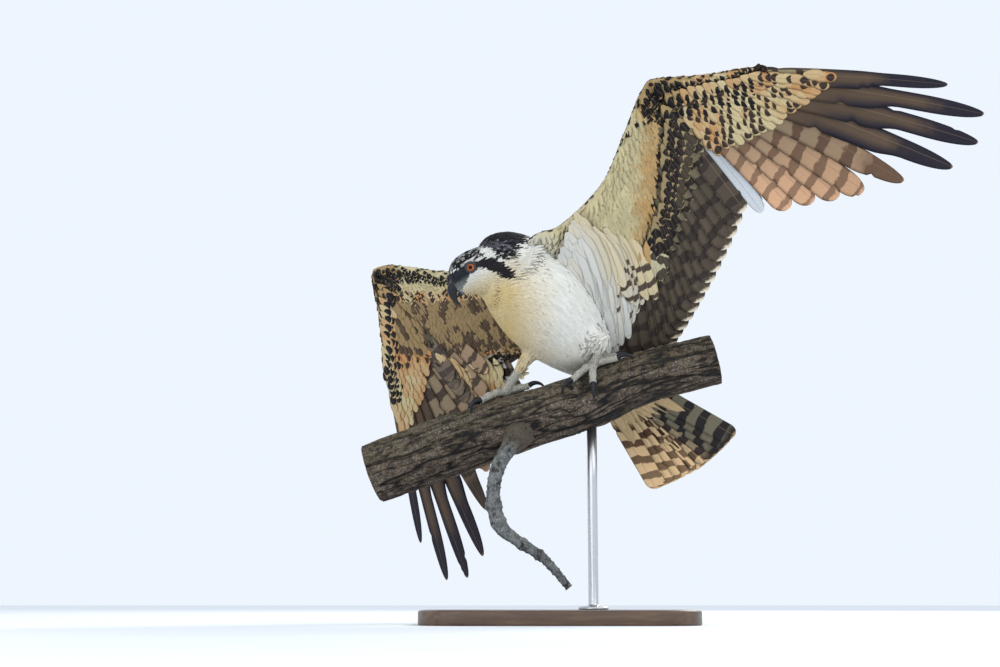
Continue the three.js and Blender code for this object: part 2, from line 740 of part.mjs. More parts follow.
function add(name, solid, material) {
  const { vertProperties, triVerts, numProp } = largest(solid).getMesh();
  const geometry = new THREE.BufferGeometry();
  const position = new Float32Array((vertProperties.length / numProp) * 3);
  for (let i = 0; i < position.length / 3; i += 1) {
    for (let c = 0; c < 3; c += 1) position[3 * i + c] = vertProperties[numProp * i + c];
  }
  geometry.setAttribute("position", new THREE.BufferAttribute(position, 3));
  geometry.setIndex(new THREE.BufferAttribute(new Uint32Array(triVerts), 1));
  geometry.computeVertexNormals();
  const mesh = new THREE.Mesh(geometry, material);
  mesh.name = name;
  bird.add(mesh);
}

// Trunk, neck and head are made whole and parted by thin cuts
const bodyWhole = fuse([trunkSolid(0), neckSolid(0), skullSolid(0)]);
const bodyGrown = fuse([trunkSolid(GAP), neckSolid(GAP), skullSolid(GAP)]);
const neckCut = inBody([96, 0, 0]);
const neckCutWay = axis.clone().lerp(headForward, 0.25).normalize();
const headCut = inHead([-30, 0, -8]);
const headCutWay = headForward.clone().lerp(axis, 0.2).normalize();
const aheadOfTrunk = halfSpace(neckCut, neckCutWay, -GAP / 2);
const behindNeck = halfSpace(neckCut, neckCutWay.clone().negate(), -GAP / 2);
const aheadOfNeck = halfSpace(headCut, headCutWay, -GAP / 2);
const behindHead = halfSpace(headCut, headCutWay.clone().negate(), -GAP / 2);

const upperBill = billSolid(UPPER_BILL, 9, 0);
const lowerBill = billSolid(LOWER_BILL, 5, 0).subtract(billSolid(UPPER_BILL, 9, GAP));
const billGrown = fuse([billSolid(UPPER_BILL, 9, GAP), billSolid(LOWER_BILL, 5, GAP)]);

function eyeball(side, grow) {
  const ball = new THREE.SphereGeometry(EYE_RADIUS + grow, 10, 8);
  const at = inHead([EYE_AT[0], side * EYE_AT[1], EYE_AT[2]]);
  return solidOf(ball.translate(at.x, at.y, at.z));
}

// A raised rim round each eye
function lid(side) {
  const at = inHead([EYE_AT[0], side * (EYE_AT[1] + 3.6), EYE_AT[2]]);
  const ring = new THREE.TorusGeometry(LID_RADIUS, LID_TUBE, 4, 12);
  const turn = new THREE.Quaternion().setFromUnitVectors(
    new THREE.Vector3(0, 0, 1),
    headLeft.clone().multiplyScalar(side),
  );
  return solidOf(ring.applyQuaternion(turn).translate(at.x, at.y, at.z));
}

function nostril(side) {
  const [f, l, u] = NOSTRIL.at;
  const box = new THREE.SphereGeometry(1, 8, 6).scale(NOSTRIL.length / 2, NOSTRIL.depth / 2, NOSTRIL.height);
  const basis = new THREE.Matrix4().makeBasis(headForward, headLeft, headUp);
  const at = inHead([f, side * l, u]);
  return solidOf(box.applyMatrix4(basis).translate(at.x, at.y, at.z));
}

const sockets = fuse([1, -1].map((side) => eyeball(side, GAP)));
const aheadOfBody = bodyWhole.subtract(behindNeck);
const headWithLids = fuse([aheadOfBody.subtract(behindHead), lid(1), lid(-1)]);
add("head", headWithLids.subtract(sockets).subtract(billGrown), materials.white);
add("neck", aheadOfBody.subtract(aheadOfNeck), materials.white);
add("bill_upper", upperBill.subtract(nostril(1)).subtract(nostril(-1)), materials.bill);
add("bill_lower", lowerBill, materials.bill);
add("eye_left", eyeball(1, 0), materials.eye);
add("eye_right", eyeball(-1, 0), materials.eye);

// Legs: feathered thigh to the heel, then the bare shank, the ball of the foot and its toes
const legs = { left: LEFT_LEG, right: RIGHT_LEG };
const feetGrown = [];
for (const [side, leg] of Object.entries(legs)) {
  const footGrown = makeFoot(leg, GAP);
  const trousers = makeTrousers(leg).subtract(bodyGrown).subtract(branchGrown);
  add(`leg_${side}`, trousers.subtract(footGrown), materials.white);
  add(`foot_${side}`, makeFoot(leg, 0).subtract(branchGrown), materials.foot);
  makeToes(leg, 0).forEach(({ claw }, i) =>
    add(`claw_${side}_${i + 1}`, makeClaw(claw).subtract(branchGrown), materials.claw),
  );
  feetGrown.push(footGrown);
}
const perchAndFeet = fuse([branchGrown, ...feetGrown]);

const wings = { left: makeWing(LEFT_WING), right: makeWing(RIGHT_WING) };
add("torso", bodyWhole.subtract(aheadOfTrunk).subtract(perchAndFeet), materials.white);
for (const side of ["left", "right"]) {
  const { arm, hand } = wings[side];
  add(`wing_${side}_arm`, arm.subtract(bodyGrown).subtract(perchAndFeet), materials.buff);
  add(`wing_${side}_hand`, hand, materials.brown);
}
add("tail", makeTail().subtract(bodyGrown).subtract(branchGrown), materials.brown);
add("perch_branch", branchSolid(0), materials.bark);
const twigRows = smoothRows(TWIG, 18);
const twig = tube(twigRows.map((row) => vec(row.slice(0, 3))), twigRows.map((row) => row[3]), 9, branchFar);
add("perch_twig", twig.subtract(branchGrown), materials.bark);

const plan = new THREE.Shape();
const [halfLength, halfWidth] = [BASE.length / 2 - BASE.bevel, BASE.width / 2 - BASE.bevel];
plan.moveTo(-halfLength + BASE.corner, -halfWidth);
plan.lineTo(halfLength - BASE.corner, -halfWidth);
plan.absarc(halfLength - BASE.corner, -halfWidth + BASE.corner, BASE.corner, -Math.PI / 2, 0);
plan.absarc(halfLength - BASE.corner, halfWidth - BASE.corner, BASE.corner, 0, Math.PI / 2);
plan.absarc(-halfLength + BASE.corner, halfWidth - BASE.corner, BASE.corner, Math.PI / 2, Math.PI);
plan.absarc(-halfLength + BASE.corner, -halfWidth + BASE.corner, BASE.corner, Math.PI, 1.5 * Math.PI);
const slab = new THREE.ExtrudeGeometry(plan, {
  depth: BASE.height - 2 * BASE.bevel,
  bevelThickness: BASE.bevel,
  bevelSize: BASE.bevel,
  bevelSegments: 1,
  curveSegments: 6,
});
add("stand_base", solidOf(slab.translate(0, 0, BASE.bevel)), materials.base);

const rodTop = 330;
const rodProfile = [
  [0, 0],
  [ROD.flangeRadius, 0],
  [ROD.flangeRadius, ROD.flangeHeight * 0.6],
  [ROD.radius + 2, ROD.flangeHeight],
  [ROD.radius, ROD.flangeHeight + 2],
  [ROD.radius, rodTop],
  [0, rodTop],
].map(([r, z]) => new THREE.Vector2(r, z));
const rod = new THREE.LatheGeometry(rodProfile, 20).rotateX(Math.PI / 2);
const rodSolid = solidOf(rod.translate(ROD.at[0], ROD.at[1], BASE.height + GAP));
add("stand_rod", rodSolid.subtract(branchGrown), materials.rod);

export default bird;
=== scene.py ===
import math

import bpy
import numpy as np
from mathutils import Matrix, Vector
from mathutils.bvhtree import BVHTree


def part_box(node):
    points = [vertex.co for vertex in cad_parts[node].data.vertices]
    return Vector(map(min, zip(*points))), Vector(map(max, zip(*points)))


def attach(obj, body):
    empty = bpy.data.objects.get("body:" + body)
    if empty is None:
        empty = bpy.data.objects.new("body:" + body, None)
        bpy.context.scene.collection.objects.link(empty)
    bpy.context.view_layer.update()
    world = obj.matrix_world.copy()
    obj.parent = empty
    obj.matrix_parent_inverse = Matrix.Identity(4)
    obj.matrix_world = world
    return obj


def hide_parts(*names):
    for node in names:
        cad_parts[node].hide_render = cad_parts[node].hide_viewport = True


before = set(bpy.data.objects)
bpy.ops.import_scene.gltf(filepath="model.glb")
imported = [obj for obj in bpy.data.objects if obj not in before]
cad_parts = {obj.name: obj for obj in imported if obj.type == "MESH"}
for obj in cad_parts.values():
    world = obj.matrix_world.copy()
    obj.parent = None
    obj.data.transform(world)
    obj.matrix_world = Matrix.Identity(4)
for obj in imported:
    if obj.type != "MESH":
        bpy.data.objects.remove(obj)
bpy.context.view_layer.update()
MM = 0.001
rng = np.random.default_rng(71)

# Sizes that the solids share
BODY_MIDDLE = np.array([1.0, -6.0, 426.0])
HEADING, PITCH, ROLL = 48, 35, 15
TRUNK = [
    [-112, 24, 14, 17],
    [-98, 33, 22, 27],
    [-70, 50, 36, 40],
    [-25, 65, 48, 57],
    [25, 72, 53, 66],
    [70, 69, 51, 63],
    [100, 60, 46, 57],
    [122, 48, 40, 46],
]
BETWEEN_EYES = np.array([-122.0, -78.0, 484.0])
HEAD_FORWARD = [-0.88, -0.1, -0.46]
SKULL = [
    [31, 11, 3, 17],
    [27, 15, 12, 23],
    [20, 19, 20, 28],
    [8, 24.5, 26.5, 34],
    [-6, 28.5, 28.5, 39.5],
    [-22, 31.5, 27, 45],
    [-38, 34, 24, 49],
    [-54, 34, 18, 47],
]
NECK = [
    [-105, -77, 470, 28, 37],
    [-92, -70, 475, 35, 52],
    [-76, -61, 481, 43, 64],
    [-56, -47, 483, 51, 66],
    [-34, -32, 470, 57, 66],
]
EYE_RADIUS = 8.2
EYE_AT = [0, 20.4, 0]
UPPER_BILL = [
    [23, -10, 9.6, 9.2, 12],
    [30, -10.5, 8.8, 8.6, 22],
    [35, -14.5, 6.6, 7.2, 48],
    [37, -21, 4.6, 5.4, 76],
    [37.2, -27, 3.1, 3.8, 90],
    [36.3, -32.5, 1.8, 2.2, 102],
    [34.4, -37, 0.5, 0.6, 112],
]
LOWER_BILL = [
    [15, -19.5, 8.4, 4.2, 20],
    [22, -22, 7, 4, 26],
    [27, -24, 5, 3.4, 36],
    [30, -26, 2.4, 2.2, 50],
]
HUMERUS, ULNA, HAND = 145, 180, 135
SHOULDER = [62, 44, 32]
LEFT_WING = dict(
    side=1,
    wrist=[122, -180, 720],
    long_tip=[599, -98, 727],
    first_fan=8.2,
    fan=1,
    first_secondary=115,
    last_secondary=153,
    secondary_length=[228, 185],
    leading_edge=[-66, -60, -29, -3, -5, -10],
    dark_line=[[-40, 140], [50, 116], [122, 90], [198, 58], [245, 42], [285, 34]],
)
RIGHT_WING = dict(
    side=-1,
    wrist=[-271, 128, 527],
    long_tip=[-158, 213, 50],
    first_fan=5.2,
    fan=0.98,
    first_secondary=134,
    last_secondary=122,
    secondary_length=[208, 126],
    leading_edge=[-56, -52, -32, -18, -18, -17],
    dark_line=[[-40, 40], [40, 44], [93, 49], [160, 55], [202, 55], [247, 34]],
)
PRIMARY_LENGTH = [240, 255, 266, 281, 296, 328, 372, 380, 362, 287]
FAN = [46, 40.6, 36.6, 32.8, 29.4, 23.4, 17.1, 11.3, 5.7, 0]
FEATHER_DROOP = 0.06
FEATHER_SWEEP = 0.035
SHINGLE = 0.105
TAIL_LENGTH = 224
TAIL_WAY = [0.691, 0.441, -0.572]
TAIL_FAN = 17
TAIL_TWIST = 15
RIGHT_LEG = dict(
    hip=[-8, -30, -30],
    heel=[-37, -3, 381],
    foot=[-57, 7],
    toes=[6, -32, 124, 178],
    trousers=[27, 28, 23, 15, 11, 8.5],
)
LEFT_LEG = dict(
    hip=[-36, 34, -20],
    heel=[66, -42, 392],
    foot=[68, -22],
    toes=[-75, -30, 150, 195],
    trousers=[24, 25, 20, 13, 10, 8.2],
)
TOE_LENGTH, TOE_RADIUS = 40, 6
SHANK_FEATHERED = 0.55
CLAW_LENGTH, CLAW_RADIUS = 30, 3.9
BRANCH = [
    [-262, 34, 211, 44],
    [-160, 22, 247, 44],
    [-30, 10, 289, 42],
    [58, 4, 317, 40],
    [130, 0, 347, 38],
    [226, -4, 371, 37],
]
TWIG = [
    [-52, -12, 266, 15],
    [-68, -38, 240, 12],
    [-83, -50, 212, 10.5],
    [-89, -54, 172, 10],
    [-80, -54, 134, 10.5],
    [-56, -52, 113, 8.5],
    [-20, -46, 89, 7],
    [14, -42, 50, 5],
]
BASE = dict(length=380, width=270, height=20, corner=60)
ROD = dict(at=[50, 4], radius=7, flange_radius=21, flange_height=5)

# Depths from the solids' faces to the skin under the feathers of body, head and legs
COAT, FACE_COAT, LEG_COAT = 4.0, 2.4, 3.0
# Width of a small feather's patch on its piece's map
PATCH = 0.003


def unit(v):
    v = np.asarray(v, dtype=float)
    return v / (np.linalg.norm(v, axis=-1, keepdims=True) + 1e-12)


def smooth_rows(rows, count):
    """Rows between the rows of a table, by a Catmull-Rom curve through every column."""
    table = np.asarray(rows, dtype=float)
    last = len(table) - 1
    made = []
    for t in np.linspace(0, last, count):
        k = min(int(t), last - 1)
        u = t - k
        a, b, d, e = (table[min(max(j, 0), last)] for j in (k - 1, k, k + 1, k + 2))
        made.append(b + 0.5 * u * (d - a + u * (2 * a - 5 * b + 4 * d - e + u * (3 * (b - d) + e - a))))
    return np.array(made)


level = np.array([-math.sin(math.radians(HEADING)), -math.cos(math.radians(HEADING)), 0])
axis = level * math.cos(math.radians(PITCH)) + np.array([0, 0, math.sin(math.radians(PITCH))])
flat_left = np.cross([0, 0, 1], level)
flat_back = np.cross(axis, flat_left)
left = flat_left * math.cos(math.radians(ROLL)) + flat_back * math.sin(math.radians(ROLL))
back = np.cross(axis, left)
head_forward = unit(HEAD_FORWARD)
head_left = unit(np.cross([0, 0, 1], head_forward))
head_up = np.cross(head_forward, head_left)


def in_body(a, side, b):
    return BODY_MIDDLE + axis * a + left * side + back * b


def in_head(f, side, u):
    return BETWEEN_EYES + head_forward * f + head_left * side + head_up * u


def eased(t):
    """0 to 1 with a soft start and end."""
    return t * t * (3 - 2 * t)


def value_noise(p, seed=0):
    """Smooth noise from 0 to 1 at points p, an array of n rows of 3."""
    p = np.asarray(p, dtype=float)
    cell = np.floor(p).astype(np.int64)
    t = eased(p - cell)

    def corner(offset):
        c = cell + np.array(offset)
        h = c[:, 0] * 374761393 + c[:, 1] * 668265263 + c[:, 2] * 2147483647 + seed * 974711
        h = (h ^ (h >> 13)) * 1274126177
        h = h ^ (h >> 16)
        return (h & 0xFFFF) / 65535.0

    total = 0
    for i in (0, 1):
        for j in (0, 1):
            for k in (0, 1):
                weight = (t[:, 0] if i else 1 - t[:, 0]) * (t[:, 1] if j else 1 - t[:, 1])
                total = total + weight * (t[:, 2] if k else 1 - t[:, 2]) * corner((i, j, k))
    return total


def fractal(p, octaves=4, seed=0):
    total = 0
    for o in range(octaves):
        total = total + value_noise(np.asarray(p) * 2.03**o, seed + o) * 0.5 ** (o + 1)
    return total / (1 - 0.5**octaves)


def paint(mesh, key, values):
    """Keeps a number or a vector for every point of a mesh, for its material to read."""
    values = np.asarray(values, dtype=np.float32)
    kind, field = ("FLOAT", "value") if values.ndim == 1 else ("FLOAT_VECTOR", "vector")
    mesh.attributes.new(key, kind, "POINT").data.foreach_set(field, values.ravel())


def read(collection, field, width, dtype=float):
    """One field of all the items of a mesh's collection, as an array."""
    values = np.zeros(len(collection) * width, dtype=dtype)
    collection.foreach_get(field, values)
    return values.reshape(-1, width) if width > 1 else values


def distance_along(points):
    return np.concatenate([[0], np.cumsum(np.linalg.norm(np.diff(points, axis=0), axis=1))])


def unwrap(obj):
    """A map named OFBake over a mesh, unwrapped by its own shape."""
    obj.data.uv_layers.new(name="OFBake")
    for other in bpy.context.selected_objects:
        other.select_set(False)
    bpy.context.view_layer.objects.active = obj
    obj.select_set(True)
    bpy.ops.object.mode_set(mode="EDIT")
    bpy.ops.mesh.select_all(action="SELECT")
    bpy.ops.uv.smart_project(angle_limit=math.radians(66), island_margin=0.002)
    bpy.ops.object.mode_set(mode="OBJECT")
    obj.select_set(False)


def make_object(name, points, faces, materials, attributes=None, uv=None, face_slots=None):
    """A mesh object from points in millimetres, with attributes and uv per point, or unwrapped without uv."""
    mesh = bpy.data.meshes.new(name)
    mesh.from_pydata((np.asarray(points, dtype=float) * MM).tolist(), [], faces)
    for key, values in (attributes or {}).items():
        paint(mesh, key, values)
    if uv is not None:
        layer = mesh.uv_layers.new(name="OFBake")
        index = read(mesh.loops, "vertex_index", 1, np.int64)
        layer.data.foreach_set("uv", np.asarray(uv, dtype=np.float32)[index].ravel())
    for material in materials:
        mesh.materials.append(material)
    if face_slots is not None:
        mesh.polygons.foreach_set("material_index", np.asarray(face_slots, dtype=np.int32))
    mesh.polygons.foreach_set("use_smooth", np.full(len(mesh.polygons), True))
    mesh.update()
    obj = bpy.data.objects.new(name, mesh)
    bpy.context.scene.collection.objects.link(obj)
    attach(obj, "root")
    if uv is None:
        unwrap(obj)
    return obj


def loft_faces(rings, count, first=0, close=True):
    """Faces round rings of count points that follow each other, with ends if they close."""
    faces = []
    for i in range(rings - 1):
        for j in range(count):
            a = first + i * count + j
            b = first + i * count + (j + 1) % count
            faces.append((a, b, b + count, a + count))
    if close:
        faces.append(tuple(first + j for j in reversed(range(count))))
        faces.append(tuple(first + (rings - 1) * count + j for j in range(count)))
    return faces


def oval(middle, side, up, half_width, above, below, count, power=1.0):
    """A ring of points, squarer than an ellipse where power is under 1."""
    angle = np.linspace(0, 2 * math.pi, count, endpoint=False)
    c, s = np.cos(angle), np.sin(angle)
    rise = np.where(s > 0, above, below) * np.sign(s) * np.abs(s) ** power
    return middle + np.outer(half_width * np.sign(c) * np.abs(c) ** power, side) + np.outer(rise, up)


def tube_rings(path, radii, count, across):
    path = np.asarray(path, dtype=float)
    rings = []
    for i in range(len(path)):
        way = unit(path[min(i + 1, len(path) - 1)] - path[max(i - 1, 0)])
        side = unit(np.cross(across, way))
        rings.append(oval(path[i], side, np.cross(way, side), radii[i], radii[i], radii[i], count))
    return rings


def ball_rings(middle, pole, radius, count, gap, steps):
    """Rings of a ball from pole to pole, the first and last at the angle gap from them."""
    rings = []
    for t in np.linspace(gap, math.pi - gap, steps):
        r = radius * math.sin(t)
        rings.append(oval(middle + pole * radius * math.cos(t), branch_way, branch_far, r, r, r, count))
    return rings


def merged(parts):
    """Points and faces of several lofts, each a list of rings, in one list."""
    points, faces = [], []
    first = 0
    for rings in parts:
        count = len(rings[0])
        points.append(np.concatenate(rings))
        faces += loft_faces(len(rings), count, first)
        first += len(rings) * count
    return np.concatenate(points), faces


# The branch under the feet
branch_rows = smooth_rows(BRANCH, 18)
branch_way = unit(np.array(BRANCH[-1][:3]) - np.array(BRANCH[0][:3]))
branch_far = unit(np.cross([0, 0, 1], branch_way))
branch_top = unit(np.cross(branch_way, branch_far))


def over_branch(along_x, degrees, height):
    """A point height above the bark, at one x along the branch and so many degrees round it."""
    row = np.array([np.interp(along_x, branch_rows[:, 0], branch_rows[:, c]) for c in range(4)])
    angle = math.radians(degrees)
    radius = row[3] + 0.6 + height
    return row[:3] + branch_far * (radius * math.sin(angle)) + branch_top * (radius * math.cos(angle))


class Graph:
    """The shader nodes of one material, with short ways to add and join them."""

    def __init__(self, name):
        self.material = bpy.data.materials.new(name)
        self.material.use_nodes = True
        self.nodes = self.material.node_tree.nodes
        self.links = self.material.node_tree.links
        self.shader = self.nodes["Principled BSDF"]
        self.where = self.nodes.new("ShaderNodeTexCoord").outputs["Object"]

    def put(self, socket, value):
        if hasattr(value, "is_output"):
            self.links.new(value, socket)
        else:
            socket.default_value = value

    def set(self, name, value):
        """A constant of the shader itself."""
        self.shader.inputs[name].default_value = value

    def add_node(self, kind, **settings):
        node = self.nodes.new("ShaderNode" + kind)
        for name, value in settings.items():
            setattr(node, name, value)
        return node

    def math(self, operation, a, b=0.0, clamp=False):
        node = self.add_node("Math", operation=operation, use_clamp=clamp)
        self.put(node.inputs[0], a)
        self.put(node.inputs[1], b)
        return node.outputs[0]

    def add(self, a, b):
        return self.math("ADD", a, b)

    def sub(self, a, b):
        return self.math("SUBTRACT", a, b)

    def mul(self, a, b):
        return self.math("MULTIPLY", a, b)

    def most(self, a, b, clamp=False):
        return self.math("MAXIMUM", a, b, clamp)

    def sine(self, a):
        return self.math("SINE", a)

    def value(self, name, output="Fac"):
        return self.add_node("Attribute", attribute_name=name).outputs[output]

    def vector(self, name):
        return self.value(name, "Vector")

    def parts(self, name):
        """The three numbers of a vector that the mesh keeps."""
        node = self.add_node("SeparateXYZ")
        self.links.new(self.vector(name), node.inputs[0])
        return node.outputs

    def step(self, value, low, high):
        node = self.add_node("MapRange", interpolation_type="SMOOTHSTEP")
        self.put(node.inputs["Value"], value)
        self.put(node.inputs["From Min"], low)
        self.put(node.inputs["From Max"], high)
        return node.outputs["Result"]

    def mix(self, factor, a, b):
        node = self.add_node("Mix", data_type="RGBA")
        self.put(node.inputs["Factor"], factor)
        self.put(node.inputs["A"], a)
        self.put(node.inputs["B"], b)
        return node.outputs["Result"]

    def scaled(self, colour, factor):
        node = self.add_node("VectorMath", operation="SCALE")
        self.links.new(colour, node.inputs[0])
        self.links.new(factor, node.inputs["Scale"])
        return node.outputs[0]

    def stretched(self, scale):
        node = self.add_node("Mapping")
        node.inputs["Scale"].default_value = scale
        self.links.new(self.where, node.inputs["Vector"])
        return node.outputs["Vector"]

    def noise(self, scale, detail=3.0, vector=None, rough=0.5):
        node = self.add_node("TexNoise")
        node.inputs["Scale"].default_value = scale
        node.inputs["Detail"].default_value = detail
        node.inputs["Roughness"].default_value = rough
        self.links.new(vector or self.where, node.inputs["Vector"])
        return node.outputs["Fac"]

    def voronoi(self, scale, feature="DISTANCE_TO_EDGE"):
        node = self.add_node("TexVoronoi", feature=feature)
        node.inputs["Scale"].default_value = scale
        self.links.new(self.where, node.inputs["Vector"])
        return node.outputs["Distance"]

    def ramp(self, value, stops):
        node = self.add_node("ValToRGB")
        elements = node.color_ramp.elements
        while len(elements) < len(stops):
            elements.new(0.5)
        for element, (position, colour) in zip(elements, stops):
            element.position = position
            element.color = (*colour, 1)
        self.links.new(value, node.inputs["Fac"])
        return node.outputs["Color"]

    def bump(self, height, strength, distance):
        node = self.add_node("Bump")
        node.inputs["Strength"].default_value = strength
        node.inputs["Distance"].default_value = distance
        self.links.new(height, node.inputs["Height"])
        self.links.new(node.outputs["Normal"], self.shader.inputs["Normal"])

    def finish(self, colour, roughness, metallic=0.0):
        self.put(self.shader.inputs["Base Color"], colour)
        self.put(self.shader.inputs["Roughness"], roughness)
        self.set("Metallic", metallic)
        return self.material


def coat_material(name):
    """Small body feathers: their own tint with fine barbs, a little darker at the root as painted shade."""
    g = Graph(name)
    u, v, _ = g.parts("place")
    barbs = g.sine(g.add(g.mul(u, 46.0), g.mul(g.math("ABSOLUTE", v), -9.0)))
    shade = g.add(g.mul(g.noise(900.0, 2.0), 0.3), 0.85)
    shade = g.add(shade, g.mul(barbs, 0.035))
    # painted shade: a little darker towards the root, where the feather before lies over it
    shade = g.mul(shade, g.add(g.mul(g.step(u, 0.0, 0.6), 0.12), 0.89))
    g.bump(barbs, 0.25, 0.0002)
    g.set("Specular IOR Level", 0.2)
    return g.finish(g.scaled(g.vector("tint"), shade), 0.72)


def vane_material(name):
    """Flight feathers and larger coverts: ground colour, bars, dark tip, blotch, painted backlight glow, pale
    fringe and shaft.
    """
    g = Graph(name)
    u, v, chance = g.parts("place")
    count, duty, start = g.parts("bars")
    dark_from, fringe, blotch = g.parts("ends")
    tint = g.vector("tint")
    mark = g.vector("mark")
    rim = g.vector("rim")
    across = g.math("ABSOLUTE", v)
    wobble = g.sub(g.noise(55.0, 3.0), 0.5)
    fine = g.sub(g.noise(260.0, 3.0), 0.5)
    phase = g.add(g.mul(u, count), g.mul(wobble, 0.5))
    phase = g.add(phase, g.mul(across, 0.14))
    phase = g.add(phase, chance)
    wave = g.add(g.sine(g.mul(phase, 6.2832)), g.mul(fine, 0.5))
    low = g.sub(0.92, g.mul(duty, 2.0))
    bars = g.step(wave, low, g.add(low, 0.35))
    bars = g.mul(g.mul(bars, g.step(u, start, g.add(start, 0.1))), g.step(duty, 0.0, 0.05))
    tip = g.step(g.add(u, g.mul(wobble, 0.12)), dark_from, g.add(dark_from, 0.14))
    du = g.sub(u, 0.66)
    spread = g.add(g.mul(g.mul(du, du), 12.0), g.mul(v, v))
    reach = g.mul(blotch, 0.62)
    spot = g.step(g.add(spread, g.mul(fine, 0.4)), g.add(reach, 0.16), reach)
    spot = g.mul(spot, g.step(blotch, 0.02, 0.1))
    dark = g.most(g.most(bars, tip), spot, clamp=True)
    # painted backlight glow: a warm paler end, as if lit from behind, where blotch is below 0
    glow = g.mul(g.step(u, 0.3, 0.95), g.most(g.mul(blotch, -1.0), 0.0))
    colour = g.mix(g.mul(dark, g.sub(1.0, g.mul(glow, 0.3))), g.mix(glow, tint, rim), mark)
    # darker edges on the long fingers
    sides = g.mul(g.step(across, 0.25, 0.9), g.step(dark_from, 1.5, 1.3))
    sides = g.mul(sides, g.step(u, 0.3, 0.5))
    colour = g.mix(g.mul(sides, g.step(duty, 0.3, 0.1)), colour, mark)
    edge = g.most(g.mul(across, 0.94), g.math("POWER", u, 3.0))
    edge = g.add(edge, g.mul(fine, 0.08))
    hem = g.step(edge, g.sub(1.0, fringe), g.add(1.02, g.mul(fringe, -0.45)))
    hem = g.mul(hem, g.mul(g.step(fringe, 0.0, 0.02), g.step(g.add(u, g.mul(fringe, 3.0)), 0.8, 1.0)))
    colour = g.mix(hem, colour, rim)
    # the wing's and tail's upper side is plain dark brown
    over = g.step(g.value("over"), 0.94, 0.99)
    faint = g.mix(g.mul(bars, 0.5), (0.036, 0.026, 0.021, 1), (0.016, 0.012, 0.01, 1))
    faint = g.mix(g.mul(hem, 0.6), faint, (0.3, 0.23, 0.16, 1))
    colour = g.mix(over, colour, faint)
    shaft = g.mul(g.step(across, 0.07, 0.03), 0.35)
    colour = g.mix(shaft, colour, (0.2, 0.14, 0.1, 1))
    barbs = g.sine(g.add(g.mul(u, 420.0), g.mul(across, -60.0)))
    shade = g.add(g.mul(g.noise(620.0, 2.0), 0.3), 0.85)
    shade = g.add(shade, g.mul(barbs, 0.03))
    ridge = g.add(g.mul(barbs, 0.35), g.mul(g.step(across, 0.08, 0.0), 2.0))
    g.bump(ridge, 0.35, 0.0003)
    g.set("Specular IOR Level", 0.18)
    return g.finish(g.scaled(colour, shade), 0.6)


def feathers(f, rows, columns, thickness, split=0.0):
    """Points, faces and per-point data of many feathers at once. Each is a thin closed plate.

    f holds arrays with one entry for each feather: root, way, lead, up, length, outer, inner, droop, sweep,
    slope, camber, tip (share of the length that rounds off), neck (share that widens), notch, notch_at."""
    n = len(f["root"])
    u = 1 - (1 - np.linspace(0, 1, rows)) ** 1.35
    v = np.linspace(-1, 1, columns)

    def of(key, default):
        return (np.ones(n) * f.get(key, default))[:, None]

    tip, neck = of("tip", 0.2), of("neck", 0.2)
    body = 0.28 + 0.72 * eased(np.clip(u / neck, 0, 1))
    end = np.clip((u - 1 + tip) / tip, 0, 1)
    rounding = np.sqrt(np.clip(1 - end**2.2, 0, 1))
    notch, notch_at = of("notch", 0.0), of("notch_at", 0.6)
    step = eased(np.clip((u - notch_at + 0.06) / 0.14, 0, 1))
    outer = of("outer", 1.0) * body * rounding * (1 - 0.28 * notch * step)
    inner = of("inner", 1.0) * body * rounding * (1 - notch * step)
    if split:
        frayed = rng.random((n, rows)) < split
        inner = inner * np.where(frayed, 0.8, 1.0)
        frayed = rng.random((n, rows)) < split * 0.6
        outer = outer * np.where(frayed, 0.84, 1.0)
    length = of("length", 1.0)
    way, lead, up = (np.asarray(f[k])[:, None, :] for k in ("way", "lead", "up"))
    bend = length * u**2
    spine = np.asarray(f["root"])[:, None, :] + way * (length * u)[..., None]
    spine = spine - lead * (of("sweep", 0.0) * bend)[..., None] - up * (of("droop", 0.0) * bend)[..., None]
    w = np.where(v > 0, outer[..., None] * v, inner[..., None] * v)
    wide = np.maximum(outer, inner)[..., None] + 1e-6
    height = of("slope", 0.0)[..., None] * w - of("camber", 0.0)[..., None] * w * w / wide
    # barbs point outwards and on, so each vane's edge lies further along than its shaft
    ahead = 0.35 * np.abs(w) * (1 - 0.9 * end)[..., None]
    surface = spine[:, :, None, :] + lead[:, :, None, :] * w[..., None]
    surface = surface + up[:, :, None, :] * height[..., None] + way[:, :, None, :] * ahead[..., None]
    full = 1 - np.abs(v) ** 3
    full[0] = 0
    full[-1] = 0
    half = thickness / 2 * (0.35 + 0.65 * (1 - u))[None, :, None] * full[None, None, :]
    lift = up[:, :, None, :] * (half * np.ones((n, 1, 1)))[..., None]
    top = surface + lift
    under = (surface - lift)[:, :, 1:-1]
    per_top = rows * columns
    per_under = rows * (columns - 2)
    points = np.concatenate([top.reshape(n, per_top, 3), under.reshape(n, per_under, 3)], axis=1)
    faces = []

    def low(i, j):
        if j == 0 or j == columns - 1:
            return i * columns + j
        return per_top + i * (columns - 2) + j - 1

    for i in range(rows - 1):
        for j in range(columns - 1):
            a = i * columns + j
            faces.append((a, a + columns, a + columns + 1, a + 1))
            faces.append((low(i, j), low(i, j + 1), low(i + 1, j + 1), low(i + 1, j)))
    faces = np.array(faces)
    all_faces = (faces[None] + (np.arange(n) * (per_top + per_under))[:, None, None]).reshape(-1, 4)
    place_u = np.concatenate([np.repeat(u, columns), np.repeat(u, columns - 2)])
    place_v = np.concatenate([np.tile(v, rows), np.tile(v[1:-1], rows)])
    above = np.concatenate([np.ones(per_top), np.zeros(per_under)])
    return points, all_faces, place_u, place_v, above


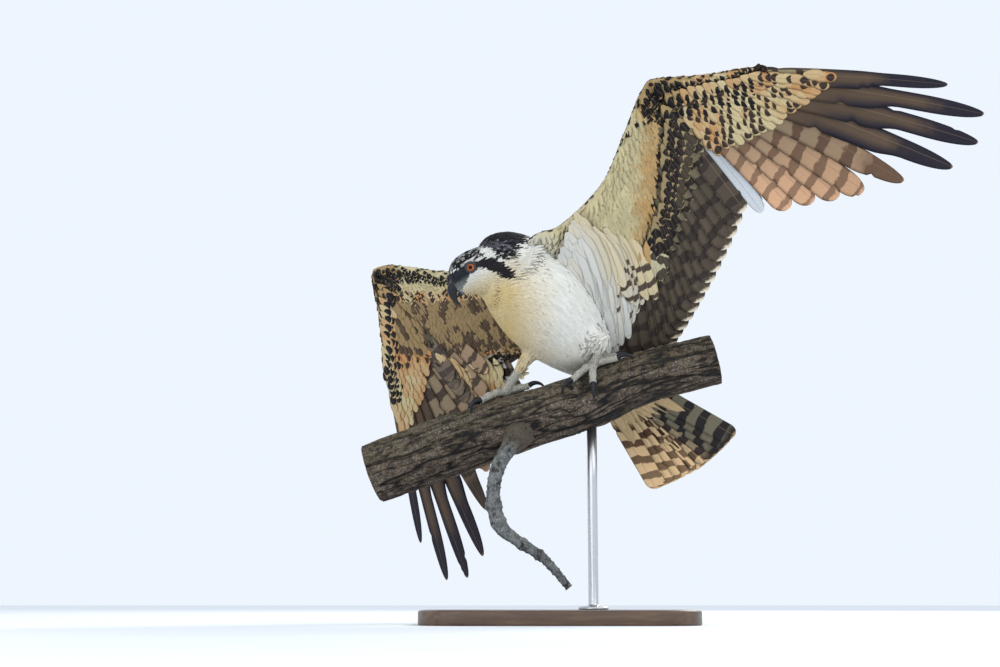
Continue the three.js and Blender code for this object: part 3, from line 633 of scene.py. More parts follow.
def feather_object(name, f, rows, columns, thickness, uv_root=None, split=0.0, dark_above=False):
    """One object from many feathers, large ones if they have marks.

    uv_root is each feather's place on the map, or None for a grid of cells. split is how often a barb line is
    frayed, and dark_above makes the upper side plain dark brown."""
    points, faces, pu, pv, above = feathers(f, rows, columns, thickness, split)
    n, per = points.shape[:2]
    all_u, all_v = np.tile(pu, n), np.tile(pv, n)
    attributes = {"place": np.stack([all_u, all_v, np.repeat(rng.random(n), per)], axis=1)}
    for key in ("tint", "mark", "rim", "bars", "ends"):
        if key in f:
            attributes[key] = np.repeat(np.asarray(f[key], dtype=float), per, axis=0)
    if dark_above:
        attributes["over"] = np.tile(above, n)
    if "shade" in f:
        attributes["tint"] = attributes["tint"] * f["shade"](all_u, all_v, per)
    if uv_root is None:
        side = math.ceil(math.sqrt(n))
        origin = np.stack([np.arange(n) % side, np.arange(n) // side], axis=1) / side
        uv = origin[:, None, :] + np.stack([pu * 0.94 + 0.03, pv * 0.45 + 0.5], axis=1)[None] / side
    else:
        local = np.stack([pu - 0.5, pv * 0.5], axis=1) * PATCH
        uv = np.clip(uv_root[:, None, :] + local[None], 0, 1)
    material = vanes if "mark" in f else coat
    obj = make_object(name, points.reshape(-1, 3), faces.tolist(), [material], attributes, uv.reshape(-1, 2))
    return obj


coat = coat_material("small_feathers")
vanes = vane_material("vane_feathers")


# Skin: the flesh of trunk, neck, head and legs as one body, inside the solids by the depth of the coat.
# Each ring of trunk, neck and head has this many points
ROUND = 40


def trunk_rings(inset):
    rings = []
    rows = smooth_rows(TRUNK, 40)
    for i, (a, w, up, down) in enumerate(rows):
        shift = inset if i == 0 else -inset if i == len(rows) - 1 else 0
        rings.append(oval(in_body(a + shift, 0, 0), left, back, w - inset, up - inset, down - inset, ROUND))
    return rings


def neck_rings(inset):
    rows = smooth_rows(NECK, 24)
    rings = []
    for i, (x, y, z, w, h) in enumerate(rows):
        way = unit(rows[max(i - 1, 0)][:3] - rows[min(i + 1, len(rows) - 1)][:3])
        share = i / (len(rows) - 1)
        side = head_left * (1 - share) + left * share
        side = unit(side - way * (side @ way))
        middle, across = np.array([x, y, z]), np.cross(way, side)
        rings.append(oval(middle, side, across, w - inset, h - inset, h - inset, ROUND))
    return rings


def skull_rings(inset):
    rings = []
    for f, w, up, down in smooth_rows(SKULL, 34):
        depth = inset * min(1.0, max(0.25, (31 - f) / 30))
        up_depth = min(depth, up * 0.5)
        middle = in_head(f, 0, 0)
        rings.append(oval(middle, head_left, head_up, w - depth, up - up_depth, down - depth, ROUND))
    return rings


def shank_of(leg):
    heel = np.array(leg["heel"], dtype=float)
    ball = over_branch(leg["foot"][0], leg["foot"][1], TOE_RADIUS + 1.5)
    shank = ball - heel
    return heel, ball, shank, heel + shank * SHANK_FEATHERED


def trouser_rings(leg, inset):
    count = 24
    hip = in_body(*leg["hip"])
    heel, _, shank, end = shank_of(leg)
    top, start, middle, bend, calf, tip = (max(r - inset, 3.5) for r in leg["trousers"])
    thigh = [hip + (heel - hip) * t for t in (-0.15, 0, 0.5, 1)]
    lower = [heel, heel + shank * 0.3, end]
    return [
        tube_rings(thigh, [top, start, middle, bend], count, branch_way),
        ball_rings(heel, unit(shank), bend, count, 0.15, 9),
        tube_rings(lower, [bend * 0.92, calf, tip], count, branch_way),
    ]


def remeshed(name, parts, voxel, smoothing):
    """One closed mesh round several lofts, as points and faces."""
    points, faces = merged(parts)
    mesh = bpy.data.meshes.new(name)
    mesh.from_pydata((points * MM).tolist(), [], faces)
    obj = bpy.data.objects.new(name, mesh)
    bpy.context.scene.collection.objects.link(obj)
    remesh = obj.modifiers.new("one_body", "REMESH")
    remesh.mode = "VOXEL"
    remesh.voxel_size = voxel * MM
    remesh.adaptivity = 0
    soften = obj.modifiers.new("soften", "SMOOTH")
    soften.factor = 0.5
    soften.iterations = smoothing
    evaluated = obj.evaluated_get(bpy.context.evaluated_depsgraph_get())
    made = evaluated.to_mesh()
    co = read(made.vertices, "co", 3)
    polygons = [tuple(p.vertices) for p in made.polygons]
    evaluated.to_mesh_clear()
    bpy.data.objects.remove(obj)
    bpy.data.meshes.remove(mesh)
    return co / MM, polygons


class Surface:
    """Triangles of a mesh with their areas, normals and map, to set feathers on."""

    def __init__(self, obj):
        mesh = obj.data
        mesh.calc_loop_triangles()
        verts = read(mesh.loop_triangles, "vertices", 3, np.int64)
        loops = read(mesh.loop_triangles, "loops", 3, np.int64)
        co = read(mesh.vertices, "co", 3)
        self.p = (co / MM)[verts]
        self.tree = BVHTree.FromPolygons([Vector(c) for c in co], verts.tolist())
        self.normals = read(mesh.vertices, "normal", 3)[verts]
        self.uv = read(mesh.uv_layers["OFBake"].data, "uv", 2)[loops]
        cross = np.cross(self.p[:, 1] - self.p[:, 0], self.p[:, 2] - self.p[:, 0])
        self.area = np.linalg.norm(cross, axis=1) / 2

    def scatter(self, spacing, where):
        """Points about spacing apart, where where(points, normals) is true: points, normals, map places."""
        # many more tries than places, so that few gaps are left
        crowd, closest, same_side = 5, spacing * spacing * 0.6, 0.2
        total = self.area.sum()
        tries = int(total / spacing**2 * crowd)
        pick = rng.choice(len(self.area), tries, p=self.area / total)
        r1, r2 = np.sqrt(rng.random(tries)), rng.random(tries)
        weights = np.stack([1 - r1, r1 * (1 - r2), r1 * r2], axis=1)[:, :, None]
        points = (self.p[pick] * weights).sum(1)
        normals = unit((self.normals[pick] * weights).sum(1))
        uv = (self.uv[pick] * weights).sum(1)
        keep = where(points, normals)
        points, normals, uv = points[keep], normals[keep], uv[keep]
        around = [(x, y, z) for x in (-1, 0, 1) for y in (-1, 0, 1) for z in (-1, 0, 1)]
        grid = {}

        def crowded(i, cell):
            for x, y, z in around:
                for j in grid.get((cell[0] + x, cell[1] + y, cell[2] + z), ()):
                    d = points[j] - points[i]
                    if d @ d < closest and normals[j] @ normals[i] > same_side:
                        return True
            return False

        chosen = []
        for i, cell in enumerate(map(tuple, np.floor(points / spacing).astype(int))):
            if not crowded(i, cell):
                grid.setdefault(cell, []).append(i)
                chosen.append(i)
        return points[chosen], normals[chosen], uv[chosen]


def flattened(lie, normals):
    """Directions turned to lie in the surface with these normals."""
    return unit(lie - normals * (lie * normals).sum(1, keepdims=True))


def lying(points, normals, lie, tilt, wander):
    """Directions of feathers that lie on a surface: way, lead and up for each."""
    way = flattened(lie, normals)
    turn = rng.normal(0, wander, len(points))[:, None]
    way = unit(way + np.cross(normals, way) * turn)
    side = np.cross(normals, way)
    way = unit(way + normals * tilt)
    return way, side, unit(np.cross(way, side))


def tone(r, g, b):
    """A colour given as screen values, in linear light."""
    c = np.array([r, g, b]) / 255.0
    return np.where(c <= 0.04045, c / 12.92, ((c + 0.055) / 1.055) ** 2.4)


# Where the body's colours lie
WHITE = tone(214, 214, 208)
# cream of the breast, which also carries painted warm bounce light
CREAM_AND_BOUNCE_LIGHT = tone(204, 180, 126)
BLACKISH = tone(24, 22, 26)
BROWN = tone(52, 42, 38)
BUFF = tone(186, 160, 118)


def head_place(p):
    """Forward, sideways and up of points from between the eyes."""
    d = p - BETWEEN_EYES
    return d @ head_forward, d @ head_left, d @ head_up


def body_place(p):
    d = p - BODY_MIDDLE
    return d @ axis, d @ left, d @ back


def band(x, xs, middles, halves):
    """The middle and half width of a band that runs over x."""
    return np.interp(x, xs, middles), np.interp(x, xs, halves)


def face_place(p):
    """Forward and up of points of the head as its side shows them, measured from the eye."""
    f, side, u = head_place(p)
    offset = np.outer(f, head_forward) + np.outer(np.abs(side) - EYE_AT[1], head_left) + np.outer(u, head_up)
    onward = offset[:, 0]
    rise = -0.174 * offset[:, 1] + 0.985 * offset[:, 2]
    return -0.886 * onward - 0.463 * rise, -0.463 * onward + 0.886 * rise


def head_colours(p):
    """Tint, streak and which feathers of head and neck are dark."""
    f, u = face_place(p)
    wob = (value_noise(p / 3.2, 3) - 0.5) * 3.6
    n = len(p)
    tint = np.tile(WHITE * 0.95, (n, 1))
    streak = np.zeros(n)
    # black streaks on crown and forehead, and behind the white patch
    crown = u + wob > 6.5
    streak = np.where(crown, 0.66 + 0.3 * value_noise(p / 4.0, 31), streak)
    full = crown & (value_noise(p * np.array([0.22, 0.42, 0.42]), 77) > 0.42)
    # the plain white patch between crown and stripe, behind the eye
    along_patch = (f + 30) * 0.585 + (u - 7) * 0.81
    over_patch = -(f + 30) * 0.81 + (u - 7) * 0.585
    patch = (along_patch / 12.0) ** 2 + (over_patch / 5.6) ** 2 < 1
    brow = ((f + 4) / 9.0) ** 2 + ((u - 9.5) / 1.6) ** 2 < 1
    streak = np.where(patch, 0.0, np.where(brow, 0.2, streak))
    # the stripe from the eye down the side of the neck, ragged at its end
    path = [-48, -42, -36, -28, -20, -8, 4]
    middle, half = band(f, path, [-36, -30, -22, -12, -6.5, -1, 0], [4, 11, 16, 13, 8, 5.4, 4.8])
    stripe = (np.abs(u - middle + wob * 0.8) < half) & (f > -48 + wob)
    # dark lores between the eye and the bill
    lores = (f > 3) & (u < 6.0 + wob * 0.4) & (u > -7.0 - (f - 5) * 0.7 + wob * 0.4)
    # the nape and mantle above the side of the neck
    edge = np.interp(f, [-150, -102, -95, -73, -56, -40, -28], [-5, -8, 7, -2, -3, 7, 19])
    nape = (u + wob * 1.4 > edge) & (f < -27) & ~patch
    tint[stripe | full & ~patch & ~brow] = BLACKISH
    fade = np.clip((-u - 7 + wob) / 11, 0, 1)[:, None]
    tint[lores] = (tone(30, 33, 40) * (1 - fade) + tone(120, 124, 120) * fade)[lores]
    tint[nape] = tone(24, 24, 27)
    behind = (f < -33) & (f > -70) & (u > edge - 15 + wob) & ~nape & ~patch & ~stripe
    some = behind & (value_noise(p / 2.4, 61) > 0.36)
    tint[some] = BLACKISH
    streak = np.where(behind, 0.6, streak)
    mixed = nape & (f > -64) & (u < edge + 15) & (value_noise(p / 2.6, 9) > 0.45)
    streak = np.where(mixed, -0.75, streak)
    chin = (u < -11) & ~stripe & ~lores
    warm = np.clip((-u - 8) / 22, 0, 1)[:, None] * 0.85
    tint[chin] = (tint * (1 - warm) + tone(190, 176, 138) * warm)[chin]
    return tint, streak, stripe | nape | lores | behind


def body_colours(p, normals):
    """Tint of the small feathers of neck, trunk and legs, and which of them are dark above."""
    wob = (fractal(p / 14.0, 3, 7) - 0.5) * 0.4
    dark = (normals @ back + wob > 0.42) & (body_place(p)[2] > -8)
    x, z = p[:, 0], p[:, 2]
    # cream towards low x and low on the body: partly the plumage's own buff, partly painted warm bounce light
    warm = np.clip((6 - x) / 72, 0, 1) * np.clip((512 - z) / 60, 0, 1) * np.clip((z - 318) / 60, 0.1, 0.92)
    warm = warm + np.clip((412 - z) / 80, 0, 1) * 0.3 + (fractal(p / 24.0, 3, 5) - 0.5) * 0.25
    warm = np.clip(warm, 0, 1)[:, None]
    tint = WHITE * (1 - warm) + CREAM_AND_BOUNCE_LIGHT * warm
    tint[dark] = BROWN
    return tint, dark


def feather_set(points, normals, lie, length, width, tilt, wander, tint, tree, rise):
    """Feathers that lie on a surface, each bent so that its tip stays about rise above it."""
    n = len(points)
    way, side, up = lying(points, normals, lie, tilt, wander)
    length = length * rng.normal(1, 0.09, n)
    tips = points + way * length[:, None]
    bend = np.zeros(n)
    for i in range(n):
        near, normal, _, _ = tree.find_nearest(Vector(tips[i] * MM))
        height = (tips[i] - np.array(near) / MM) @ np.array(normal)
        bend[i] = (height - rise - rng.random() * 0.4) / length[i]
    outer = width * rng.normal(1, 0.06, n)
    inner = width * rng.normal(1, 0.06, n)
    return dict(root=points - up * 0.3, way=way, lead=side, up=up, length=length, outer=outer, inner=inner,
                droop=np.clip(bend, -0.3, 0.45), camber=0.35, tip=0.45, neck=0.35, tint=tint)


def fringe_shade(amount, streak):
    """Darker towards the shaft where a feather is streaked, paler at the rim where it is fringed."""

    def shade(pu, pv, per):
        s = np.repeat(streak, per)
        outermost = np.maximum(np.abs(pv), pu)
        core = np.clip(1.15 - np.abs(pv) * 1.5, 0, 1) * (pu < 0.9)
        dark = 1 - np.maximum(s, 0) * 1.55 * core
        dark = dark + np.maximum(-s, 0) * 9.0 * np.clip((outermost - 0.55) / 0.45, 0, 1)
        rim = 1 + np.repeat(amount, per) * np.clip((outermost - 0.72) / 0.28, 0, 1)
        return (np.clip(dark, 0.04, 10) * rim)[:, None]

    return shade


skin_parts = [trunk_rings(COAT), neck_rings(COAT), skull_rings(FACE_COAT)]
for leg in (LEFT_LEG, RIGHT_LEG):
    skin_parts += trouser_rings(leg, LEG_COAT)
skin_points, skin_faces = remeshed("skin", skin_parts, 3.0, 5)


def skin_material():
    g = Graph("skin_under_feathers")
    grain = g.noise(500.0, 4.0)
    g.bump(grain, 0.4, 0.0006)
    return g.finish(g.scaled(g.vector("tint"), g.add(g.mul(grain, 0.3), 0.82)), 0.85)


skin = make_object("skin", skin_points, skin_faces, [skin_material()])


def all_colours(p, normals):
    """Tint, streak and dark of points anywhere on the body, and which lie on the head."""
    f, _, u = head_place(p)
    tint, dark = body_colours(p, normals)
    streak = np.zeros(len(p))
    head_tint, head_streak, head_dark = head_colours(p)
    on_head = f > -44 + 8 * (value_noise(p / 6.0, 21) - 0.5)
    near = (f > -150) & (body_place(p)[0] > 80)
    use = on_head | (near & head_dark)
    share = np.where(head_dark, 1.0, np.clip((u + 44) / 24, 0, 1))[:, None]
    tint[use] = (head_tint * share + tint * (1 - share))[use]
    streak[use] = head_streak[use]
    dark = np.where(on_head, head_dark, dark | (near & head_dark)) & (tint.max(axis=1) < 0.12)
    return tint, streak, dark, on_head


tint, _, _, _ = all_colours(skin_points, read(skin.data.vertices, "normal", 3))
paint(skin.data, "tint", tint * 0.95)
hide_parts("torso", "neck", "head", "leg_left", "leg_right")
surface = Surface(skin)

eye_centres = {s: in_head(EYE_AT[0], s * EYE_AT[1], EYE_AT[2]) for s in (1, -1)}
bill_root = in_head(27, 0, -11)


def far_from(p, centre):
    return np.linalg.norm(p - centre, axis=1)


def body_lie(p):
    """Which way the coat lies: back from the bill over head and neck, on to the tail, and down the legs."""
    from_bill = unit(p - in_head(34, 0, -8))
    away = unit(from_bill * 0.7 - head_forward)
    down = np.clip((120 - body_place(p)[0]) / 60, 0, 1)[:, None]
    rest = from_bill * (1 - down) - axis * (0.35 + 0.65 * down)
    share = np.clip((head_place(p)[0] + 10) / -50, 0, 1)[:, None]
    lie = away * (1 - share) + unit(rest) * share
    for leg in (LEFT_LEG, RIGHT_LEG):
        heel, _, shank, _ = shank_of(leg)
        near = np.clip(1 - (far_from(p, heel) - 26) / 14, 0, 1)[:, None]
        lie = lie * (1 - near) + unit(shank) * near
    return unit(lie)


def beyond(p, centre, distance):
    return far_from(p, centre) > distance


def near_leg(p):
    close = np.zeros(len(p), dtype=bool)
    for leg in (LEFT_LEG, RIGHT_LEG):
        heel, _, _, end = shank_of(leg)
        close |= ~(beyond(p, heel, 24) & beyond(p, end, 20))
    return close


def in_zone(p, ahead, along, legs):
    """Which points lie in a zone of the coat, clear of eyes and bill, on the legs or not, or both if None."""
    f, a = head_place(p)[0], body_place(p)[0]
    inside = (f > ahead[0]) & (f <= ahead[1]) & (a > along[0]) & (a <= along[1])
    clear = beyond(p, eye_centres[1], 8.8) & beyond(p, eye_centres[-1], 8.8) & beyond(p, bill_root, 10.5)
    return inside & clear & (True if legs is None else near_leg(p) == legs)


FAR = 1000
ALL = (-FAR, FAR)
coat_zones = [
    # name, spacing, length, half width, tilt, wander, span from the eyes, span along the trunk, on the legs
    ("face_feathers", 1.9, 5.6, 1.2, 0.14, 0.16, (0, FAR), ALL, None),
    ("head_feathers", 2.4, 9.5, 1.7, 0.11, 0.15, (-40, 3), ALL, None),
    ("nape_feathers", 3.2, 14.0, 2.7, 0.08, 0.15, (-66, -30), ALL, False),
    ("neck_feathers", 3.8, 18.0, 4.4, 0.07, 0.14, (-FAR, -56), (84, FAR), False),
    ("breast_feathers", 5.0, 25.0, 6.8, 0.06, 0.14, (-FAR, -56), (-FAR, 96), False),
    ("leg_feathers", 3.4, 14.0, 2.8, 0.1, 0.2, ALL, ALL, True),
]
for name, spacing, length, width, tilt, wander, *zone in coat_zones:
    points, normals, uv = surface.scatter(spacing, lambda p, n: in_zone(p, *zone))
    lie = body_lie(points)
    # a feather shows its outer part, so it takes the colour of the place where that lies
    tint, streak, dark, on_head = all_colours(points + flattened(lie, normals) * length * 0.65, normals)
    size = np.where(dark & ~on_head, 1.15, 1.0)
    rise = 0.6 if length < 12 else 0.8
    f = feather_set(points, normals, lie, length * size, width * size, tilt, wander, tint, surface.tree, rise)
    f["tint"] = np.clip(tint * rng.normal(1, 0.045, len(points))[:, None], 0, 1)
    pale_rim = np.where(dark & ~on_head, 2.2 * (rng.random(len(points)) < 0.75), np.where(dark, 0.8, 0.05))
    f["shade"] = fringe_shade(pale_rim, streak)
    feather_object(name, f, 5, 3, 0.35, uv)


# Wings
def make_wing(spec):
    """The bones of a wing laid out in its own plane, and ways to find places in it."""
    side = spec["side"]
    shoulder = in_body(SHOULDER[0], side * SHOULDER[1], SHOULDER[2])
    wrist = np.array(spec["wrist"], dtype=float)
    e1 = wrist - shoulder
    reach = np.linalg.norm(e1)
    e1 = e1 / reach
    to_tip = np.array(spec["long_tip"], dtype=float) - wrist
    tip_angle = math.acos(unit(to_tip) @ e1)
    e2 = unit(to_tip - e1 * (to_tip @ e1))
    up = np.cross(e1, e2) * side
    elbow_x = (HUMERUS**2 - ULNA**2 + reach**2) / (2 * reach)
    elbow = np.array([elbow_x, math.sqrt(HUMERUS**2 - elbow_x**2)])
    ninth_angle = math.radians(spec["first_fan"] + spec["fan"] * FAN[8])
    ninth = PRIMARY_LENGTH[8]
    from_wrist = math.atan2(ninth * math.sin(ninth_angle), HAND * 0.88 + ninth * math.cos(ninth_angle))
    hand_angle = tip_angle - from_wrist
    hc, hs = math.cos(hand_angle), math.sin(hand_angle)

    def at(xy, z=0.0):
        return shoulder + e1 * xy[0] + e2 * xy[1] + up * z

    def hand_at(share, off):
        return np.array([reach + HAND * share * hc - off * hs, HAND * share * hs + off * hc])

    def ulna(share):
        return np.array([elbow[0] + (reach - elbow[0]) * share, elbow[1] * (1 - share)])

    ulna_angle = math.atan2(-elbow[1], reach - elbow[0])

    def behind_ulna(share, off):
        return ulna(share) + off * np.array([-math.sin(ulna_angle), math.cos(ulna_angle)])

    def direction(angle):
        return e1 * math.cos(angle) + e2 * math.sin(angle)

    bisector = (hand_angle + ulna_angle) / 2 + math.pi / 2
    turn = np.array([math.cos(bisector), math.sin(bisector)])
    wrist_xy = np.array([reach, 0.0])
    rear, front = wrist_xy + 34 * turn, wrist_xy - 9 * turn
    edge = spec["leading_edge"]
    arm_rows = [
        [-30, edge[0], -34, 92, 36],
        [26, edge[1], 14, 106, 38],
        [reach * 0.2, edge[2], elbow[0] * 0.72, elbow[1] + 30, 34],
        [reach * 0.46, edge[3], *behind_ulna(0.06, 30), 28],
        [reach * 0.7, edge[4], *behind_ulna(0.42, 28), 26],
        [reach * 0.9, edge[5], *behind_ulna(0.78, 27), 24],
        [*front, *rear, 22],
    ]
    hand_rows = [
        [*front, *rear, 22],
        [*hand_at(0.12, -9), *hand_at(0.22, 31), 20],
        [*hand_at(0.45, -6), *hand_at(0.5, 27), 16],
        [*hand_at(0.8, -6), *hand_at(0.82, 20), 13],
        [*hand_at(1.08, -5), *hand_at(1.08, 9), 10.5],
    ]
    return dict(spec=spec, side=side, at=at, up=up, direction=direction, hand_at=hand_at, ulna=ulna,
                elbow=elbow, hand_angle=hand_angle, reach=reach, arm_rows=arm_rows, hand_rows=hand_rows,
                e1=e1, e2=e2, shoulder=shoulder)


def wing_rings(wing, rows, count, inset):
    shares = np.array([0.0, 0.02, 0.07, 0.16, 0.3, 0.48, 0.66, 0.84, 0.97])
    heights = np.array([0.0, 0.34, 0.62, 0.86, 0.99, 0.98, 0.84, 0.64, 0.42])
    rings = []
    for fx, fy, rx, ry, thick in smooth_rows(rows, count):
        start, end = wing["at"]((fx, fy)), wing["at"]((rx, ry))
        way = unit(end - start)
        chord = np.linalg.norm(end - start)
        start = start + way * inset
        chord = max(chord - 2 * inset, 4)
        rise = np.maximum(heights * thick / 2 - inset * np.minimum(heights * 2, 1), 0.4)
        rise[0] = 0
        above = [start + way * (s * chord) + wing["up"] * h for s, h in zip(shares, rise)]
        under = zip(shares[:0:-1], rise[:0:-1])
        below = [start + way * (s * chord) - wing["up"] * h for s, h in under]
        rings.append(np.array(above + below))
    return rings


def primary_angle(wing, share):
    spec = wing["spec"]
    opened = np.interp(np.asarray(share) * 9, np.arange(10), FAN)
    return wing["hand_angle"] + np.radians(spec["first_fan"] + spec["fan"] * opened)


def arm_base(wing, share):
    past = share * 1.45
    if past <= 1:
        return wing["ulna"](1 - past - 0.03)
    stay = 1 - (past - 1) * 1.1
    return np.array([wing["elbow"][0] * stay, wing["elbow"][1] * stay + 6])


def arm_angle(wing, share):
    first, last = wing["spec"]["first_secondary"], wing["spec"]["last_secondary"]
    return np.radians(first + (last - first) * share)


# Colours of the larger feathers
UNDER_GROUND = tone(128, 110, 88)
UNDER_MARK = tone(78, 62, 52)
# warm pale fringe colour, which the painted backlight glow of the inner primaries also takes
GLOW = tone(220, 172, 134)
FINGER_DARK = tone(34, 31, 42)
FINGER_WARM = tone(84, 68, 54)
# Shape of a large feather where nothing else is said
PLAIN_SHAPE = dict(droop=0.0, sweep=0.0, slope=0.0, camber=0.06, tip=0.16, neck=0.22, notch=0.0, notch_at=0.6)
PRIMARIES = [
    # outer and inner half width, notch, where it is, width of the bars, where the dark end starts, painted
    # backlight glow
    (12.5, 17, 0, 0, 0.3, 2, 0.75),
    (12.5, 19.5, 0, 0, 0.3, 2, 0.85),
    (12.5, 19.5, 0, 0, 0.32, 2, 0.85),
    (12.5, 20, 0, 0, 0.34, 2, 0.8),
    (12, 21, 0, 0, 0.36, 2, 0.75),
    (11, 22.5, 0.2, 0.8, 0.36, 0.74, 0.35),
    (11, 24, 0.3, 0.7, 0, 0.68, 0.12),
    (11.5, 24, 0.36, 0.6, 0, 0.72, 0),
    (11, 22.5, 0.4, 0.56, 0, 0.72, 0),
    (8.5, 17, 0.42, 0.6, 0, 0.6, 0),
]
SECONDARIES = 20


def put(batch, root, way, lead, up, length, outer, inner, **more):
    """Adds one feather to a batch, which keeps a list for each property."""
    own = dict(root=root, way=way, lead=lead, up=up, length=length, outer=outer, inner=inner)
    for key, value in {**PLAIN_SHAPE, **more, **own}.items():
        batch.setdefault(key, []).append(value)


def put_on_wing(batch, wing, place, lift, angle, length, outer, inner, **more):
    way, lead = wing["direction"](angle), wing["direction"](angle - math.pi / 2)
    put(batch, wing["at"](place, lift), way, lead, wing["up"], length, outer, inner, **more)


def packed(batch):
    return {k: np.array(v, dtype=float) for k, v in batch.items()}


def flight_feathers(wing):
    batch = {}
    left_wing = wing["side"] > 0
    shape = dict(droop=FEATHER_DROOP, sweep=FEATHER_SWEEP, slope=SHINGLE)
    for i, (outer, inner, notch, notch_at, duty, dark_from, glow) in enumerate(PRIMARIES):
        share = i / 9
        fingered = i > 4
        tint = UNDER_GROUND * (1.25 - 0.05 * i) if i < 6 else FINGER_WARM
        dark = FINGER_DARK if i > 5 else tone(124, 94, 74) * (1.0 - 0.1 * i)
        rim = GLOW * (1.0 - 0.05 * i) if i < 6 else tone(132, 104, 86)
        if left_wing and i == 0:
            inner, duty = 9, 0
            tint, rim, glow = tone(160, 164, 166), tone(200, 206, 212), 0.8
        # the right wing's inner primaries: other colours and less painted backlight glow
        if not left_wing and i < 6:
            tint, dark, glow = tone(132, 116, 94), tone(66, 54, 46), glow * 0.3
        # the negative third number of ends paints the backlight glow
        place = wing["hand_at"](0.1 + 0.88 * share, 4)
        put_on_wing(batch, wing, place, 0.0, primary_angle(wing, share), PRIMARY_LENGTH[i], outer, inner,
                    notch=notch, notch_at=notch_at, tip=0.26 if fingered else 0.13, tint=tint, mark=dark,
                    rim=rim, bars=(8.6 - 0.2 * i, duty, 0.12),
                    ends=(dark_from, 0.035 if fingered else 0.08, -glow), **shape)
    longest, shortest = wing["spec"]["secondary_length"]
    pale = 1.0 if left_wing else 2.1
    rim = tone(226, 214, 190) if left_wing else tone(120, 104, 84)
    for i in range(SECONDARIES):
        share = i / (SECONDARIES - 1)
        length = longest + (shortest - longest) * share**2
        put_on_wing(batch, wing, arm_base(wing, share), 0.0, arm_angle(wing, share), length, 12.5, 19.5,
                    tip=0.12, tint=tone(80, 70, 59) * pale * rng.normal(1, 0.09),
                    mark=tone(54, 46, 41) * (0.4 + 0.6 * pale), rim=rim, bars=(6.5, 0.34, 0.1),
                    ends=(0.9, 0.1, 0), **shape)
    return packed(batch)


def greater_coverts(wing, sign):
    """Greater and median coverts of the arm and hand, on the upper side (sign 1) or the lower (sign -1)."""
    batch = {}
    under = sign < 0
    shape = dict(sweep=FEATHER_SWEEP, slope=SHINGLE * 1.2, tip=0.3)
    above = dict(droop=0.025, tint=BROWN * 1.1, mark=BROWN * 0.7, rim=BUFF, bars=(3, 0.0, 0.3))
    under_hand = dict(droop=0.0, tint=tone(150, 134, 104), mark=tone(64, 54, 42), rim=tone(196, 178, 140),
                      bars=(3.6, 0.3, 0.2))
    under_arm = dict(droop=0.012, mark=tone(38, 32, 29), rim=tone(186, 172, 138), bars=(4.4, 0.46, 0.15))
    tiers = [
        # lift, start, primary lengths, secondary length, counts, half widths
        (4.6, 0, (112, 126), 128, (12, 20), (10.5, 13.5)),
        (6.2, -2, (74, 84), 88, (14, 24), (9.5, 12)),
        (7.8, -5, (46, 52), 58, (15, 28), (8.0, 10)),
    ]
    for lift, ahead, primary, secondary, counts, half in tiers[:1] if under else tiers:
        for share in np.arange(counts[0]) / (counts[0] - 1):
            place = wing["hand_at"](0.12 + 0.86 * share, 7 + ahead)
            angle = primary_angle(wing, share) - math.radians(2)
            length = (primary[0] + (primary[1] - primary[0]) * share) * rng.normal(1, 0.015)
            outer, inner = half[0] * rng.normal(0.68, 0.03), half[1] * rng.normal(1, 0.05)
            put_on_wing(batch, wing, place, sign * lift * (1 - 0.45 * share), angle, length, outer, inner,
                        ends=(2, 0.1, 0.0), **shape, **(under_hand if under else above))
        for share in np.arange(counts[1]) / (counts[1] - 1):
            angle = arm_angle(wing, share) - math.radians(2)
            length = secondary * rng.normal(1, 0.02)
            outer, inner = half[0] * rng.normal(1, 0.05), half[1] * rng.normal(1, 0.05)
            near_body = np.clip((share - 0.72) / 0.2, 0, 1)
            ground = tone(104, 96, 76) * (1 - near_body) + WHITE * 0.7 * near_body
            put_on_wing(batch, wing, arm_base(wing, share), sign * lift, angle, length, outer, inner,
                        ends=(2, 0.09, 0.0), **shape, **(dict(under_arm, tint=ground) if under else above))
    return packed(batch)


def small_looks(n, fringe, blotch):
    """The bars and ends of small coverts: no bars, a fringe and a blotch."""
    ends = np.stack([np.full(n, 2.0), np.ones(n) * fringe, blotch], axis=1)
    return dict(bars=np.tile([1.0, 0.0, 0.0], (n, 1)), ends=ends)


